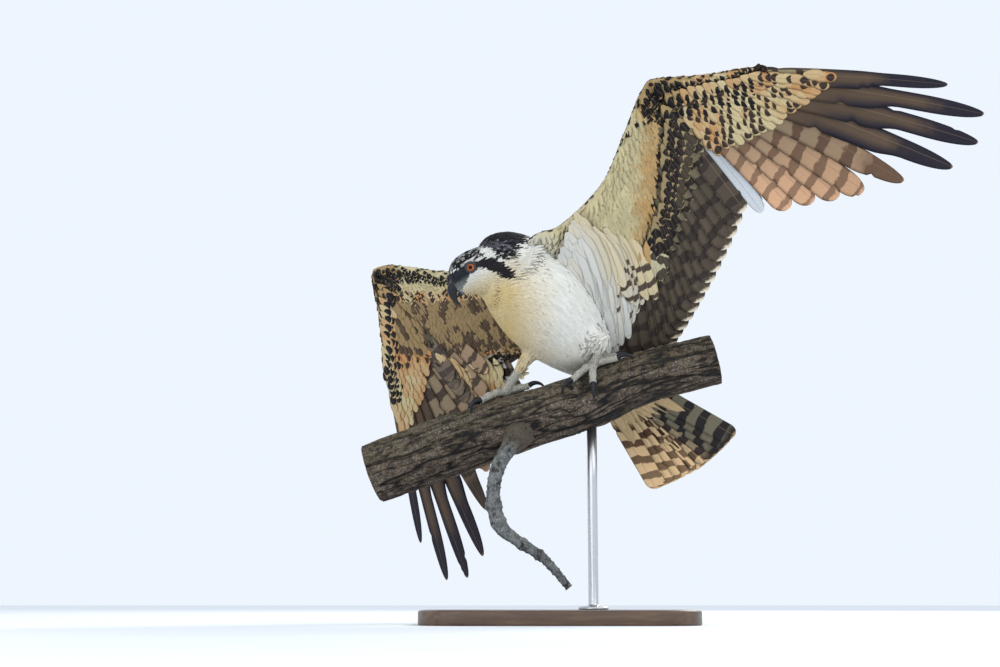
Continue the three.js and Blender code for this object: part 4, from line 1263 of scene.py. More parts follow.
def under_colours(wing, x, y, p):
    """Tint, mark and blotch of the coverts under the wing, by their place in its plane."""
    n = len(x)
    right = wing["side"] < 0
    past = x - wing["reach"]
    cos, sin = math.cos(wing["hand_angle"]), math.sin(wing["hand_angle"])
    hand_x, hand_y = past * cos + y * sin, y * cos - past * sin
    rows = np.array(wing["arm_rows"])
    on_hand = (hand_x > 0) & (past + y * 0.4 > 0)
    if right:
        on_hand = hand_x > 34
    depth = np.where(on_hand, hand_y + 8, y - np.interp(x, rows[:, 0], rows[:, 1]))
    dark_line = np.array(wing["spec"]["dark_line"])
    behind = y - np.interp(x, dark_line[:, 0], dark_line[:, 1])
    wob = value_noise(p / 7.0, 5) - 0.5
    chance = rng.random(n)
    cream, ochre, rusty = tone(194, 182, 142), tone(180, 138, 80), tone(172, 116, 66)
    t = np.clip((behind + 42 + wob * 26) / 26, 0, 1) * (0.55 + 0.45 * value_noise(p / 16.0, 8))
    tint = cream * (1 - t[:, None]) + ochre * t[:, None]
    tint = tint * (1 + 0.3 * (value_noise(p / 11.0, 3) - 0.5)[:, None])
    mark = np.tile(tone(28, 23, 23), (n, 1))
    blotch = np.zeros(n)
    white = np.clip((46 - x) / 46, 0, 1)[:, None]
    arm = ~on_hand
    # rows of dark coverts with cream edges behind the small ones
    rowed = arm & (behind + wob * 16 > 0)
    if right:
        cluster = value_noise(p / 11.0, 33) > 0.55
        blotch = np.where(rowed & cluster, 5.0, blotch)
        tint[rowed] = tone(146, 121, 83)
        mark[rowed] = tone(74, 60, 46) * rng.normal(1.1, 0.12, (int(rowed.sum()), 1))
        inner = rowed & (x < 90)
        tint[inner] = tone(112, 96, 76)
        mark[inner] = tone(62, 52, 44)
        blotch = np.where(inner, np.where(value_noise(p / 11.0, 35) > 0.5, 5.0, 0.0), blotch)
    else:
        blotch = np.where(rowed, np.where(chance < 0.85, 1.9, 1.0), blotch)
        tint[rowed] = tone(150, 132, 96)
        pale = rowed & (behind > 34)
        mark[pale] = tone(64, 56, 44)
        blotch = np.where(pale, 1.5, blotch)
        inner = rowed & (x < 66)
        tint[inner] = tone(188, 180, 148)
        blotch = np.where(inner, np.where(chance < 0.62, 1.5, 0.0), blotch)
        mark[inner] = tone(70, 62, 52)
    # the hand: dense black chequers in front, squares on cream and rust behind
    from_wrist = np.hypot(past, y - 10)
    front = on_hand & (depth + wob * 18 < (38 if right else 54)) & (hand_x < (200 if right else 150))
    wrist = from_wrist + wob * 24 < (52 if right else 46)
    rest = on_hand & ~front
    rust = np.clip((fractal(p / 22.0, 2, 12) - 0.35) * 2.6, 0, 1)[:, None]
    ground = tone(196, 180, 138) * (1 - rust * 0.8) + rusty * 1.15 * rust * 0.8
    tint[on_hand] = ground[on_hand]
    blotch = np.where(rest, np.where(chance < 0.62, 0.8, 0.0), blotch)
    mark[rest] = tone(52, 40, 33)
    if right:
        low = rest & (hand_x > 150)
        blotch = np.where(low & (chance < 0.7), 0.0, blotch)
        big = rest & (hand_x > 50) & (hand_x < 128) & (hand_y > 30)
        blotch = np.where(big, np.where(value_noise(p / 11.0, 33) > 0.55, 5.0, 0.0), blotch)
        mark[big] = tone(76, 60, 46) * rng.normal(1.1, 0.12, (int(big.sum()), 1))
        tint[big] = tone(146, 123, 86)
    blotch = np.where(front, np.where(chance < 0.82, 1.15, 0.3), blotch)
    blotch = np.where(wrist, np.where(chance < 0.93, 1.9, 0.7), blotch)
    tint[wrist] = tone(162, 136, 92)
    mark[front | wrist] = tone(17, 16, 20)
    # small marks along the leading edge of the arm
    line = arm & ~wrist & (depth < (25 if right else 11 + 6 * np.clip(x / wing["reach"], 0, 1)))
    blotch = np.where(line & (chance < (0.95 if right else 0.5)), 1.5, blotch)
    mark[line] = tone(20, 18, 20)
    if not right:
        tint = np.where(arm[:, None], tint * (1 - white) + WHITE * 0.92 * white, tint)
    return tint, mark, blotch


def row_places(starts, angles, reaches, spacing=10.4):
    """Places spacing apart in staggered rows, each at one reach from the starts: x, y, reach and angle."""
    for k, reach in enumerate(reaches):
        line = starts + np.stack([np.cos(angles), np.sin(angles)], axis=1) * reach
        arc = distance_along(line)
        for at in np.arange((k % 2) * spacing / 2, arc[-1], spacing):
            i = min(int(np.searchsorted(arc, at)), len(arc) - 1)
            yield *line[i], reach, angles[i]


def covert_sheet(wing):
    """Rows of medium coverts under the wing, from the small ones' end over the bases of the long feathers."""
    root, way = [], []
    left_wing = wing["side"] > 0
    edge = np.array(sorted(wing["arm_rows"], key=lambda row: row[2]))
    shares = np.linspace(0, 1, 400)
    starts = np.array([wing["hand_at"](0.1 + 0.88 * t, 4) for t in shares])
    reaches = np.arange(8, 112 if left_wing else 104, 10.5)
    for x, y, reach, angle in row_places(starts, primary_angle(wing, shares), reaches):
        root.append([x, y, -(10.4 - 4.2 * reach / 110)])
        way.append(angle + math.radians(rng.normal(4, 3)))
    shares = np.linspace(0, 1, 500)
    starts = np.array([arm_base(wing, t) for t in shares])
    for x, y, reach, angle in row_places(starts, arm_angle(wing, shares), np.arange(12, 78, 10.5)):
        if y >= np.interp(x, edge[:, 2], edge[:, 3]) - 14:
            root.append([x, y, -(11.6 - 3.6 * reach / 80) - (0 if left_wing else 0.8)])
            way.append(angle + math.radians(rng.normal(0, 3)))
    root, way = np.array(root), np.array(way)
    n = len(root)
    root[:, :2] += rng.normal(0, 0.8, (n, 2))
    e1, e2, up = wing["e1"], wing["e2"], wing["up"]
    points = wing["shoulder"] + np.outer(root[:, 0], e1) + np.outer(root[:, 1], e2) + np.outer(root[:, 2], up)
    cos, sin = np.cos(way)[:, None], np.sin(way)[:, None]
    onward, ahead = cos * e1 + sin * e2, sin * e1 - cos * e2
    # the part that shows, this far from the root
    shown = 19
    x, y = root[:, 0] + shown * cos[:, 0], root[:, 1] + shown * sin[:, 0]
    tint, mark, blotch = under_colours(wing, x, y, points + onward * shown)
    length, outer, inner = rng.normal(29, 1.2, n), rng.normal(7.2, 0.3, n), rng.normal(7.6, 0.3, n)
    return dict(root=points, way=unit(onward - up * 0.03), lead=ahead, up=np.tile(up, (n, 1)), length=length,
                outer=outer, inner=inner, droop=-0.06 if left_wing else -0.02, camber=-0.12, slope=0.08,
                tip=0.42, neck=0.3, tint=tint, mark=mark, rim=tint * 1.12, **small_looks(n, 0.1, blotch))


def axillaries(wing):
    """Long white feathers of the armpit, that close the corner between the body and the wing."""
    batch = {}
    last = wing["spec"]["last_secondary"]
    lines = ((72, 104, -14), (56, 112, -15.5), (40, 116, -17), (22, 112, -19), (4, 100, -20), (-14, 84, -19))
    count = 12
    for row, (y, length, lift) in enumerate(lines):
        for i in range(count):
            x = -22 + 104 * i / (count - 1) + rng.normal(0, 2.5)
            angle = math.radians(last - 8 - 14 * i / (count - 1) + rng.normal(0, 2.6))
            barred = row < 3 and i > 6
            stain = np.clip(rng.normal(0.08, 0.12), 0, 0.4)
            warm = max(np.clip((i - row * 0.3 - 6) / 7 + rng.normal(0, 0.06), 0, 0.7), stain)
            white = WHITE * 0.9 * (1 - warm) + tone(204, 180, 124) * warm
            place = (x, y - 0.12 * x + rng.normal(0, 2))
            put_on_wing(batch, wing, place, lift * (1 - 0.0035 * max(x, 0)) - 1.2 * row, angle,
                        length * rng.normal(1, 0.07), rng.normal(12.5, 1), rng.normal(13.5, 1), droop=-0.015,
                        sweep=0.02, slope=0.04, camber=0.02, tip=0.6, tint=white * rng.normal(1, 0.035),
                        mark=tone(78, 66, 56), rim=white * 1.1, bars=(4.6, 0.38 if barred else 0.0, 0.4),
                        ends=(2, 0.14, 0.0))
    return packed(batch)


def lesser_colours(wing, p, normals):
    """Tint, mark and blotch of the small coverts, and which lie on the wing's lower side."""
    d = p - wing["shoulder"]
    under = (normals @ wing["up"]) < -0.12
    tint, mark, blotch = under_colours(wing, d @ wing["e1"], d @ wing["e2"], p)
    tint[~under] = BROWN * 1.05
    blotch[~under] = 0.0
    return tint, mark, blotch, under


def wing_lie(wing, p):
    """Which way the small coverts lie: like the long feathers behind them."""
    d = p - wing["shoulder"]
    x, y = d @ wing["e1"], d @ wing["e2"]
    hand_x = (x - wing["reach"]) * math.cos(wing["hand_angle"]) + y * math.sin(wing["hand_angle"])
    on_hand = np.clip((hand_x + 10) / 30, 0, 1)
    hand_way = primary_angle(wing, np.clip(hand_x / HAND, 0, 1))
    arm_way = arm_angle(wing, np.clip(1 - x / wing["reach"], 0, 1))
    angle = arm_way * (1 - on_hand) + hand_way * on_hand
    return np.outer(np.cos(angle), wing["e1"]) + np.outer(np.sin(angle), wing["e2"])


for label, spec in (("left", LEFT_WING), ("right", RIGHT_WING)):
    wing = make_wing(spec)
    flight_piece = feather_object(f"flight_feathers_{label}", flight_feathers(wing), 44, 9, 0.9,
                                  split=0.05, dark_above=True)
    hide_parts(f"wing_{label}_hand")
    for sign, where in ((1, "upper"), (-1, "lower")):
        feather_object(f"coverts_{where}_{label}", greater_coverts(wing, sign), 12, 7, 0.6,
                       split=0.04, dark_above=sign < 0)
    feather_object(f"covert_sheet_{label}", covert_sheet(wing), 8, 5, 0.5, dark_above=True)
    parts = [wing_rings(wing, wing["arm_rows"], 40, 3.0), wing_rings(wing, wing["hand_rows"], 26, 2.4)]
    core_points, core_faces = remeshed(f"wing_core_{label}", parts, 2.6, 3)
    core = make_object(f"wing_core_{label}", core_points, core_faces, [skin_material()])
    core_tint, _, _, _ = lesser_colours(wing, core_points, read(core.data.vertices, "normal", 3))
    paint(core.data, "tint", core_tint * 0.92)
    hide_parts(f"wing_{label}_arm")
    surface = Surface(core)
    for where, lower, spacing in (("lower", True, 4.7), ("upper", False, 6.0)):
        points, normals, uv = surface.scatter(spacing, lambda p, n: ((n @ wing["up"]) < 0.1) == lower)
        lie = wing_lie(wing, points)
        tint, mark, blotch, under = lesser_colours(wing, points + lie * 12, normals)
        size = np.clip(0.42 + np.abs(normals @ wing["up"]) * 0.8, 0.42, 1.0) * (1.0 if lower else 1.25)
        length, half_width = 19 * size, 5.4 * size
        f = feather_set(points, normals, lie, length, half_width, 0.07, 0.1, tint, surface.tree, 1.4)
        n = len(points)
        f["tint"] = np.clip(tint * rng.normal(1, 0.04, n)[:, None], 0, 1)
        f["rim"] = np.where(under[:, None], tint * 1.08, BUFF * 0.8)
        f.update(mark=mark, **small_looks(n, np.where(under, 0.06, 0.16), blotch))
        feather_object(f"lesser_coverts_{where}_{label}", f, 5, 3, 0.35, uv)
    if wing["side"] > 0:
        feather_object("axillaries", axillaries(wing), 18, 7, 0.6, split=0.12,
                       dark_above=True)


# Tail
def tail_feathers():
    way = unit(TAIL_WAY)
    lead = left * math.cos(math.radians(TAIL_TWIST)) + back * math.sin(math.radians(TAIL_TWIST))
    lead = unit(lead - way * (lead @ way))
    up = np.cross(lead, way)
    start = in_body(TRUNK[0][0], 0, 0)
    batch, soft = {}, {}

    def one(into, share, lift, length, reach_back, outer, inner, **more):
        angle = math.radians(TAIL_FAN * share)
        out = 1 if share >= 0 else -1
        onward = way * math.cos(angle) + lead * math.sin(angle)
        to_edge = (lead * math.cos(angle) - way * math.sin(angle)) * out
        root = start + way * reach_back + lead * (24 * share) + up * (lift - 3.4 * abs(share))
        put(into, root, onward, to_edge, up, length, outer, inner, **more)

    for i in range(12):
        share = (2 * i + 1) / 12 - 1
        # painted shade over one side of the tail: darker, greyer feathers with a dimmer rim, and the painted
        # backlight glow only on the other side
        painted_shade = np.clip((share - 0.05) / 0.45, 0, 1)
        tint = tone(200, 174, 134) * (1 - painted_shade) + tone(112, 106, 88) * painted_shade
        mark = tone(70, 40, 27) * (1 - painted_shade) + tone(36, 32, 33) * painted_shade
        one(batch, share, 0, TAIL_LENGTH - 14 - 8 * abs(share), 14, 12, 20, droop=0.02, slope=0.17, tip=0.1,
            neck=0.4, tint=tint, mark=mark, rim=tone(246, 206, 156) * (1 - 0.5 * painted_shade), bars=(6.4, 0.45, 0.3),
            ends=(2 if share < 0.3 else 0.84, 0.08, -0.85 * (1 - painted_shade)))
    above = dict(droop=0.02, tint=BROWN, mark=BROWN * 0.6, rim=BUFF)
    below = dict(droop=-0.02, mark=UNDER_MARK, rim=tone(214, 194, 158))
    # lift, length and count of each row of coverts
    above_rows = ((5.6, 78, 8), (7.2, 52, 9))
    below_rows = ((5.6, 124, 9), (8.0, 92, 10), (10.0, 62, 10))
    for sign, rows in ((1, above_rows), (-1, below_rows)):
        for lift, full_length, count in rows:
            for i in range(count):
                share = ((2 * i + 1) / count - 1) * 0.85
                length, reach_back = full_length * rng.normal(1, 0.05), 4 + rng.normal(0, 2)
                look = above if sign > 0 else dict(below, tint=tone(196, 170, 128) * rng.normal(1, 0.05))
                one(soft, share, sign * lift, length, reach_back, 9, 10, slope=0.1, tip=0.6, bars=(2, 0.0, 0),
                    ends=(2, 0.1, 0), **look)
    return packed(batch), packed(soft)


tail_main, tail_soft = tail_feathers()
tail_piece = feather_object("tail_feathers", tail_main, 40, 9, 0.9, split=0.05,
                            dark_above=True)
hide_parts("tail")
feather_object("tail_coverts", tail_soft, 14, 7, 0.6, split=0.04)


# Bill, eyes and lids
def bill_rings(rows, count, sides):
    rings = []
    for f, u, w, h, turn in smooth_rows(rows, count):
        way = head_forward * math.cos(math.radians(turn)) - head_up * math.sin(math.radians(turn))
        up = np.cross(way, head_left)
        rings.append(oval(in_head(f, 0, u), head_left, up, w, h, h, sides, 0.9))
    return rings


def horn_material(name):
    g = Graph(name)
    cere = g.value("cere")
    grain = g.noise(300.0, 4.0)
    horn = g.mix(grain, (0.006, 0.007, 0.009, 1), (0.02, 0.022, 0.028, 1))
    soft = g.mix(g.noise(700.0, 3.0), (0.055, 0.075, 0.1, 1), (0.13, 0.17, 0.21, 1))
    colour = g.mix(cere, horn, soft)
    g.bump(g.noise(500.0, 4.0), 0.15, 0.0004)
    g.set("Coat Weight", 0.08)
    g.set("Coat Roughness", 0.15)
    g.set("Specular IOR Level", 0.22)
    return g.finish(colour, 0.36)


horn = horn_material("horn")
bills = (("bill_top", UPPER_BILL, 40, "bill_upper"), ("bill_under", LOWER_BILL, 22, "bill_lower"))
for name, rows, count, node in bills:
    points = np.concatenate(bill_rings(rows, count, 32))
    faces = loft_faces(count, 32)
    f, side, u = head_place(points)
    cere = np.clip((31.5 - f + 0.25 * (u + 8)) / 3.0, 0, 1)
    if node == "bill_upper":
        slit = ((f - 29.5 + 0.5 * (u + 9)) / 1.5) ** 2 + ((u + 8.6) / 3.0) ** 2
        dent = np.clip(1.2 - slit, 0, 1) * (np.abs(side) > 4)
        points = points - head_left * (np.sign(side) * dent * 1.6)[:, None]
        cere = cere * (1 - np.clip(dent * 1.5, 0, 1))
    piece = make_object(name, points, faces, [horn], {"cere": cere})
    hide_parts(node)


def eye_material():
    g = Graph("wet_eye")
    out = g.value("out")
    angle = g.noise(900.0, 4.0)
    iris = g.mix(angle, (0.24, 0.05, 0.018, 1), (0.5, 0.15, 0.05, 1))
    rim = g.step(out, 0.66, 0.74)
    iris = g.mix(rim, (0.03, 0.012, 0.008, 1), iris)
    pupil = g.step(out, 0.93, 0.955)
    colour = g.mix(pupil, iris, (0.002, 0.002, 0.002, 1))
    g.set("Coat Weight", 0.1)
    g.set("Coat Roughness", 0.02)
    g.set("Specular IOR Level", 0.12)
    return g.finish(colour, 0.12)


wet_eye = eye_material()


def lid_material():
    g = Graph("lid_skin")
    grain = g.voronoi(900.0, "F1")
    colour = g.mix(grain, (0.006, 0.007, 0.009, 1), (0.03, 0.034, 0.04, 1))
    g.bump(grain, 0.5, 0.0003)
    return g.finish(colour, 0.5)


lid_skin = lid_material()
for side, label in ((1, "left"), (-1, "right")):
    look = unit(head_left * side * 0.95 + head_forward * 0.3 - head_up * 0.05)
    centre = eye_centres[side]
    rows, columns = 40, 48
    theta = np.linspace(0, math.pi, rows)
    across = unit(np.cross(look, head_up))
    over = np.cross(across, look)
    points = []
    out = []
    for t in theta[1:-1]:
        for k in range(columns):
            p = 2 * math.pi * k / columns
            d = look * math.cos(t) + (across * math.cos(p) + over * math.sin(p)) * math.sin(t)
            bulge = 0.55 * max(0.0, (math.cos(t) - 0.78) / 0.22)
            points.append(centre + d * (EYE_RADIUS - 0.25 + bulge))
            out.append(math.cos(t))
    top = centre + look * (EYE_RADIUS + 0.3)
    faces = loft_faces(rows - 2, columns, 0, False)
    points.append(top)
    out.append(1.0)
    faces += [(len(points) - 1, k, (k + 1) % columns) for k in range(columns)]
    points.append(centre - look * (EYE_RADIUS - 0.25))
    out.append(-1.0)
    first = (rows - 3) * columns
    faces += [(len(points) - 1, first + (k + 1) % columns, first + k) for k in range(columns)]
    eye = make_object(f"eyeball_{label}", points, faces, [wet_eye], {"out": out})
    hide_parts(f"eye_{label}")
    # lids: a fleshy ring drawn to a slight oval, heavier above under the brow
    rings = []
    steps, sides = 48, 12
    for k in range(steps):
        p = 2 * math.pi * k / steps
        heavy = 1.0 + 0.55 * max(0.0, math.sin(p)) + 0.12 * math.cos(p) ** 2
        radial = across * math.cos(p) + over * math.sin(p)
        r = 6.7 - 0.5 * max(0.0, math.sin(p))
        middle = centre + look * 5.2 + radial * r
        tube = 1.5 * heavy
        rings.append(oval(middle, radial, look, tube, tube * 0.9, tube * 0.9, sides))
    points = np.concatenate(rings)
    faces = loft_faces(steps, sides, 0, False)
    last = (steps - 1) * sides
    faces += [(last + j, last + (j + 1) % sides, (j + 1) % sides, j) for j in range(sides)]
    lid = make_object(f"eyelids_{label}", points, faces, [lid_skin])


# Feet and claws
def toe_paths(leg, steps):
    """Path and radii of each toe and its claw, and the way that the toe points at its end."""
    foot_x, foot_angle = leg["foot"]

    def place(distance, way, height):
        onward = -math.cos(math.radians(way)) * distance
        sideways = math.sin(math.radians(way)) * distance / 46
        return over_branch(foot_x + onward * branch_way[0], foot_angle + math.degrees(sideways), height)

    made = []
    for index, way in enumerate(leg["toes"]):
        length = TOE_LENGTH * [1, 1.08, 0.96, 0.86][index]
        path, radii = [], []
        for i in range(steps):
            s = i / (steps - 1)
            pad = 1 + 0.07 * math.cos(s * math.pi * 6)
            radius = TOE_RADIUS * (1 - 0.22 * s) * pad
            path.append(place(length * s, way, radius + 0.6 + 2.5 * math.sin(math.pi * s) * (1 - s)))
            radii.append(radius * (1 + 0.05 * (i % 2)))
        tip = path[-1]
        before = place(length * 0.8, way, radii[-1] + 0.6 + 2.5 * math.sin(math.pi * 0.8) * 0.2)
        ahead = unit(tip - before)
        outward = unit(place(length, way, 30) - place(length, way, 0))
        rise = unit(outward - ahead * (outward @ ahead))
        # a claw rises a little from the toe and hooks down on an arc
        claw, claw_radii = [], []
        bend, first = 2.15, 0.62
        arc = CLAW_LENGTH / bend
        for s in np.linspace(0, 1, 22):
            angle = bend * s - first
            onward = ahead * (arc * (math.sin(angle) + math.sin(first)))
            claw.append(tip + onward + rise * (arc * (math.cos(angle) - math.cos(first))))
            claw_radii.append(CLAW_RADIUS * (1 - s) ** 0.8 + 0.3)
        made.append((path, radii, claw, claw_radii, ahead))
    return made


def foot_material():
    g = Graph("foot_scales")
    scale = g.voronoi(520.0)
    line = g.step(scale, 0.0, 0.12)
    grain = g.noise(220.0, 3.0)
    pale = g.mix(grain, (0.38, 0.37, 0.32, 1), (0.6, 0.57, 0.49, 1))
    colour = g.mix(line, (0.1, 0.1, 0.09, 1), pale)
    g.bump(line, 0.7, 0.0005)
    return g.finish(colour, 0.55)


foot_scales = foot_material()
for label, leg in (("left", LEFT_LEG), ("right", RIGHT_LEG)):
    heel, ball, shank, end = shank_of(leg)
    toes = toe_paths(leg, 30)
    parts = [tube_rings([end - unit(shank) * 6, heel + shank * 0.8, ball], [6.4, 6.3, 7.9], 16, branch_way)]
    parts.append(ball_rings(ball, branch_top, 8.2, 16, 0.02, 12))
    for path, radii, _, _, _ in toes:
        upright = abs(unit(path[-1] - path[0]) @ branch_top) >= 0.9
        parts.append(tube_rings(path, radii, 14, branch_way if upright else branch_top))
    points, faces = remeshed(f"foot_skin_{label}", parts, 0.9, 2)
    foot = make_object(f"foot_skin_{label}", points, faces, [foot_scales])
    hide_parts(f"foot_{label}")
    for i, (_, _, claw, claw_radii, ahead) in enumerate(toes):
        rings = tube_rings(claw, claw_radii, 16, np.cross(ahead, claw[8] - claw[0]))
        points = np.concatenate(rings)
        bare = {"cere": np.zeros(len(points))}
        piece = make_object(f"talon_{label}_{i + 1}", points, loft_faces(len(rings), 16), [horn], bare)
        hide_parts(f"claw_{label}_{i + 1}")


# Branch and twig with furrowed bark and cut ends
def bark_material(name, low, high, lit, crack):
    g = Graph(name)
    depth = g.value("depth")
    moss = g.value("moss")
    grain = g.noise(120.0, 6.0, rough=0.65)
    fine = g.noise(480.0, 4.0, rough=0.6)
    ridge = g.mix(g.step(grain, 0.3, 0.72), low, high)
    # painted highlight: grey in patches on the raised plates
    grey = g.mix(g.mul(g.step(fine, 0.48, 0.7), g.step(depth, 0.6, 0.95)), ridge, lit)
    old = g.value("old")
    worn = g.mix(fine, (0.025, 0.018, 0.013, 1), (0.11, 0.085, 0.062, 1))
    grey = g.mix(g.mul(old, 0.95), grey, worn)
    # painted shade: near black in the deep cracks of the bark
    colour = g.mix(g.step(depth, crack, crack + 0.64), (0.004, 0.003, 0.003, 1), grey)
    green = g.mix(fine, (0.05, 0.05, 0.017, 1), (0.15, 0.135, 0.05, 1))
    cover = g.mul(moss, g.step(g.add(grain, g.mul(fine, 0.5)), 0.72, 0.86))
    colour = g.mix(g.mul(cover, 0.45), colour, green)
    g.bump(g.add(grain, g.mul(fine, 0.5)), 0.8, 0.0015)
    return g.finish(colour, 0.92)


def end_material():
    g = Graph("cut_wood")
    ring = g.value("ring")
    wave = g.sine(g.mul(g.add(ring, g.mul(g.noise(30.0, 2.0), 3.0)), 3.4))
    colour = g.mix(g.step(wave, -0.3, 0.9), (0.42, 0.29, 0.17, 1), (0.27, 0.17, 0.09, 1))
    colour = g.mix(g.mul(g.noise(420.0, 4.0), 0.35), colour, (0.2, 0.13, 0.08, 1))
    g.bump(wave, 0.2, 0.0004)
    return g.finish(colour, 0.8)


# low and high bark colours, and the grey of the painted highlight on the raised plates
bark_colours = (0.028, 0.019, 0.013, 1), (0.13, 0.095, 0.066, 1), (0.27, 0.25, 0.225, 1)
bark = bark_material("bark", *bark_colours, 0.16)
twig_colours = (0.075, 0.08, 0.083, 1), (0.2, 0.21, 0.215, 1), (0.34, 0.34, 0.33, 1)
twig_grey = bark_material("twig_grey", *twig_colours, -0.1)
cut_wood = end_material()


def bark_heights(s, theta, radius, seed, stretch):
    """Height of the bark from 0 in a crack to 1 on a plate, at arc s along and angle theta round."""
    arc = np.stack([s / stretch, np.cos(theta) * radius / 13.0, np.sin(theta) * radius / 13.0], axis=1)
    warp = np.stack([fractal(arc * 1.3, 3, seed + 40), fractal(arc * 1.3 + 7, 3, seed + 50)], axis=1) - 0.5
    arc[:, 1] += warp[:, 0] * 1.7
    arc[:, 2] += warp[:, 1] * 1.7
    first = np.abs(fractal(arc, 2, seed) - 0.5) * 2
    second = np.abs(fractal(arc * np.array([1.4, 1.25, 1.25]) + 19, 2, seed + 9) - 0.5) * 2
    third = np.abs(fractal(arc * np.array([5.0, 2.6, 2.6]) + 31, 2, seed + 15) - 0.5) * 2
    crack = np.minimum(np.clip(first / 0.17, 0, 1), np.clip(second / 0.13, 0, 1) * 0.8 + 0.2)
    crack = np.minimum(crack, np.clip(third / 0.1, 0, 1) * 0.45 + 0.55)
    plate = fractal(arc * np.array([2.0, 1.6, 1.6]) + 53, 3, seed + 21)
    return crack * (0.7 + 0.3 * plate)


def woody(name, rows, round_count, amplitude, seed, across, stretch, cover, lumps):
    """A round piece of wood along a path, with bark amplitude deep and cut ends."""
    path, radii = rows[:, :3], rows[:, 3]
    points, depth, moss = [], [], []
    lengths = distance_along(path)
    theta = np.linspace(0, 2 * math.pi, round_count, endpoint=False)
    for i in range(len(path)):
        way = unit(path[min(i + 1, len(path) - 1)] - path[max(i - 1, 0)])
        side = unit(np.cross(across, way))
        up = np.cross(way, side)
        crack = bark_heights(np.full(round_count, lengths[i]), theta, radii[i], seed, stretch)
        onward = np.full(round_count, lengths[i] / 60)
        place = np.stack([onward, np.cos(theta) * 1.4, np.sin(theta) * 1.4], axis=1)
        swell = (fractal(place, 3, seed + 3) - 0.5) * lumps
        r = radii[i] + swell - amplitude * (1 - crack)
        ring = path[i] + np.outer(r * np.cos(theta), side) + np.outer(r * np.sin(theta), up)
        points.append(ring)
        depth.append(crack)
        upward = (np.outer(np.cos(theta), side) + np.outer(np.sin(theta), up))[:, 2]
        moss.append(np.clip(upward * 0.8 + 0.25, 0, 1))
    points, depth, moss = (list(np.concatenate(x)) for x in (points, depth, moss))
    ring_value = [0.0] * len(points)
    faces = loft_faces(len(path), round_count, 0, False)
    slots = [0] * len(faces)
    # cut ends, a ring at a time to the pith
    for end in (0, len(path) - 1):
        rim = [end * round_count + j for j in range(round_count)]
        for j in rim:
            ring_value[j] = radii[end]
        edge_points = np.array([points[j] for j in rim])
        middle = path[end] + unit(path[end] - path[1 if end == 0 else end - 1]) * 0.6
        before = rim
        for step in (0.985, 0.8, 0.6, 0.4, 0.2):
            first = len(points)
            for q in edge_points:
                points.append(middle + (q - middle) * step)
                depth.append(1.0)
                moss.append(0.0)
                ring_value.append(step * radii[end])
            now = list(range(first, first + round_count))
            for j in range(round_count):
                k = (j + 1) % round_count
                quad = (before[j], before[k], now[k], now[j])
                faces.append(quad if end else quad[::-1])
                slots.append(1)
            before = now
        points.append(middle)
        depth.append(1.0)
        moss.append(0.0)
        ring_value.append(0.0)
        hub = len(points) - 1
        for j in range(round_count):
            k = (j + 1) % round_count
            faces.append((before[j], before[k], hub) if end else (before[k], before[j], hub))
            slots.append(1)
    attributes = {"depth": depth, "moss": moss, "ring": ring_value}
    obj = make_object(name, points, faces, [cover, cut_wood], attributes, face_slots=slots)
    return obj


branch = woody("branch_bark", smooth_rows(BRANCH, 420), 200, 4.2, 3, [0, 0, 1], 95.0, bark, 6.0)
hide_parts("perch_branch")
twig_rows = smooth_rows(TWIG, 220)
along = distance_along(twig_rows[:, :3])
# growth rings below the collar, swollen joints, and a rough end
for middle, tall, wide in ((20, 2.6, 9), (126, 2.4, 7), (150, 1.6, 5), (196, 2.0, 5), (222, 1.6, 4)):
    twig_rows[:, 3] += tall * np.exp(-(((along - middle) / wide) ** 2))
rings = np.clip(np.sin(along * 0.72 + 2.0 * np.sin(along * 0.11)), 0, 1) ** 3
twig_rows[:, 3] += rings * np.interp(along, [50, 70, 130, 150, 200, 245], [0, 0.9, 1.1, 0.3, 0.9, 1.1])
twig_rows[:, 3] *= 1 + 0.45 * np.exp(-((along / 20) ** 2))
twig = woody("twig_bark", twig_rows, 48, 1.2, 23, branch_far, 16.0, twig_grey, 2.6)
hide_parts("perch_twig")
old = np.ones(len(twig.data.vertices))
old[: len(along) * 48] = np.repeat(np.clip((52 - along) / 22, 0, 1), 48)
paint(twig.data, "old", old)


# Stand
def base_material():
    g = Graph("base_wood")
    along_grain = g.stretched((1.0, 9.0, 9.0))
    grain = g.noise(14.0, 6.0, along_grain, 0.6)
    lines = g.noise(60.0, 4.0, along_grain, 0.6)
    browns = [(0.3, (0.05, 0.026, 0.014)), (0.55, (0.12, 0.065, 0.034)), (0.75, (0.19, 0.11, 0.06))]
    colour = g.ramp(grain, browns)
    colour = g.mix(g.mul(lines, 0.5), colour, (0.045, 0.024, 0.014, 1))
    g.bump(lines, 0.12, 0.0004)
    g.set("Coat Weight", 0.3)
    g.set("Coat Roughness", 0.25)
    return g.finish(colour, 0.42)


def rounded_plan(inset, steps=14):
    half_length = BASE["length"] / 2 - inset
    half_width = BASE["width"] / 2 - inset
    corner = BASE["corner"] - inset
    ring = []
    for cx, cy, start in ((1, -1, -90), (1, 1, 0), (-1, 1, 90), (-1, -1, 180)):
        for k in range(steps + 1):
            angle = math.radians(start + 90 * k / steps)
            x = cx * (half_length - corner) + corner * math.cos(angle)
            ring.append((x, cy * (half_width - corner) + corner * math.sin(angle)))
    return ring


# how far in from the plan the side lies at each height, from the floor up
levels = [(3, 0), (0.9, 0.5), (0, 2.6)]
levels += [(0, 16.6), (0.35, 18.0), (1.2, 19.2), (2.6, 19.9), (4.2, 20.0)]
rings = [np.array([(x, y, z) for x, y in rounded_plan(inset)]) for inset, z in levels]
faces = loft_faces(len(rings), len(rings[0]))
base = make_object("display_base", np.concatenate(rings), faces, [base_material()])
base.data.polygons[-1].use_smooth = False
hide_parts("stand_base")


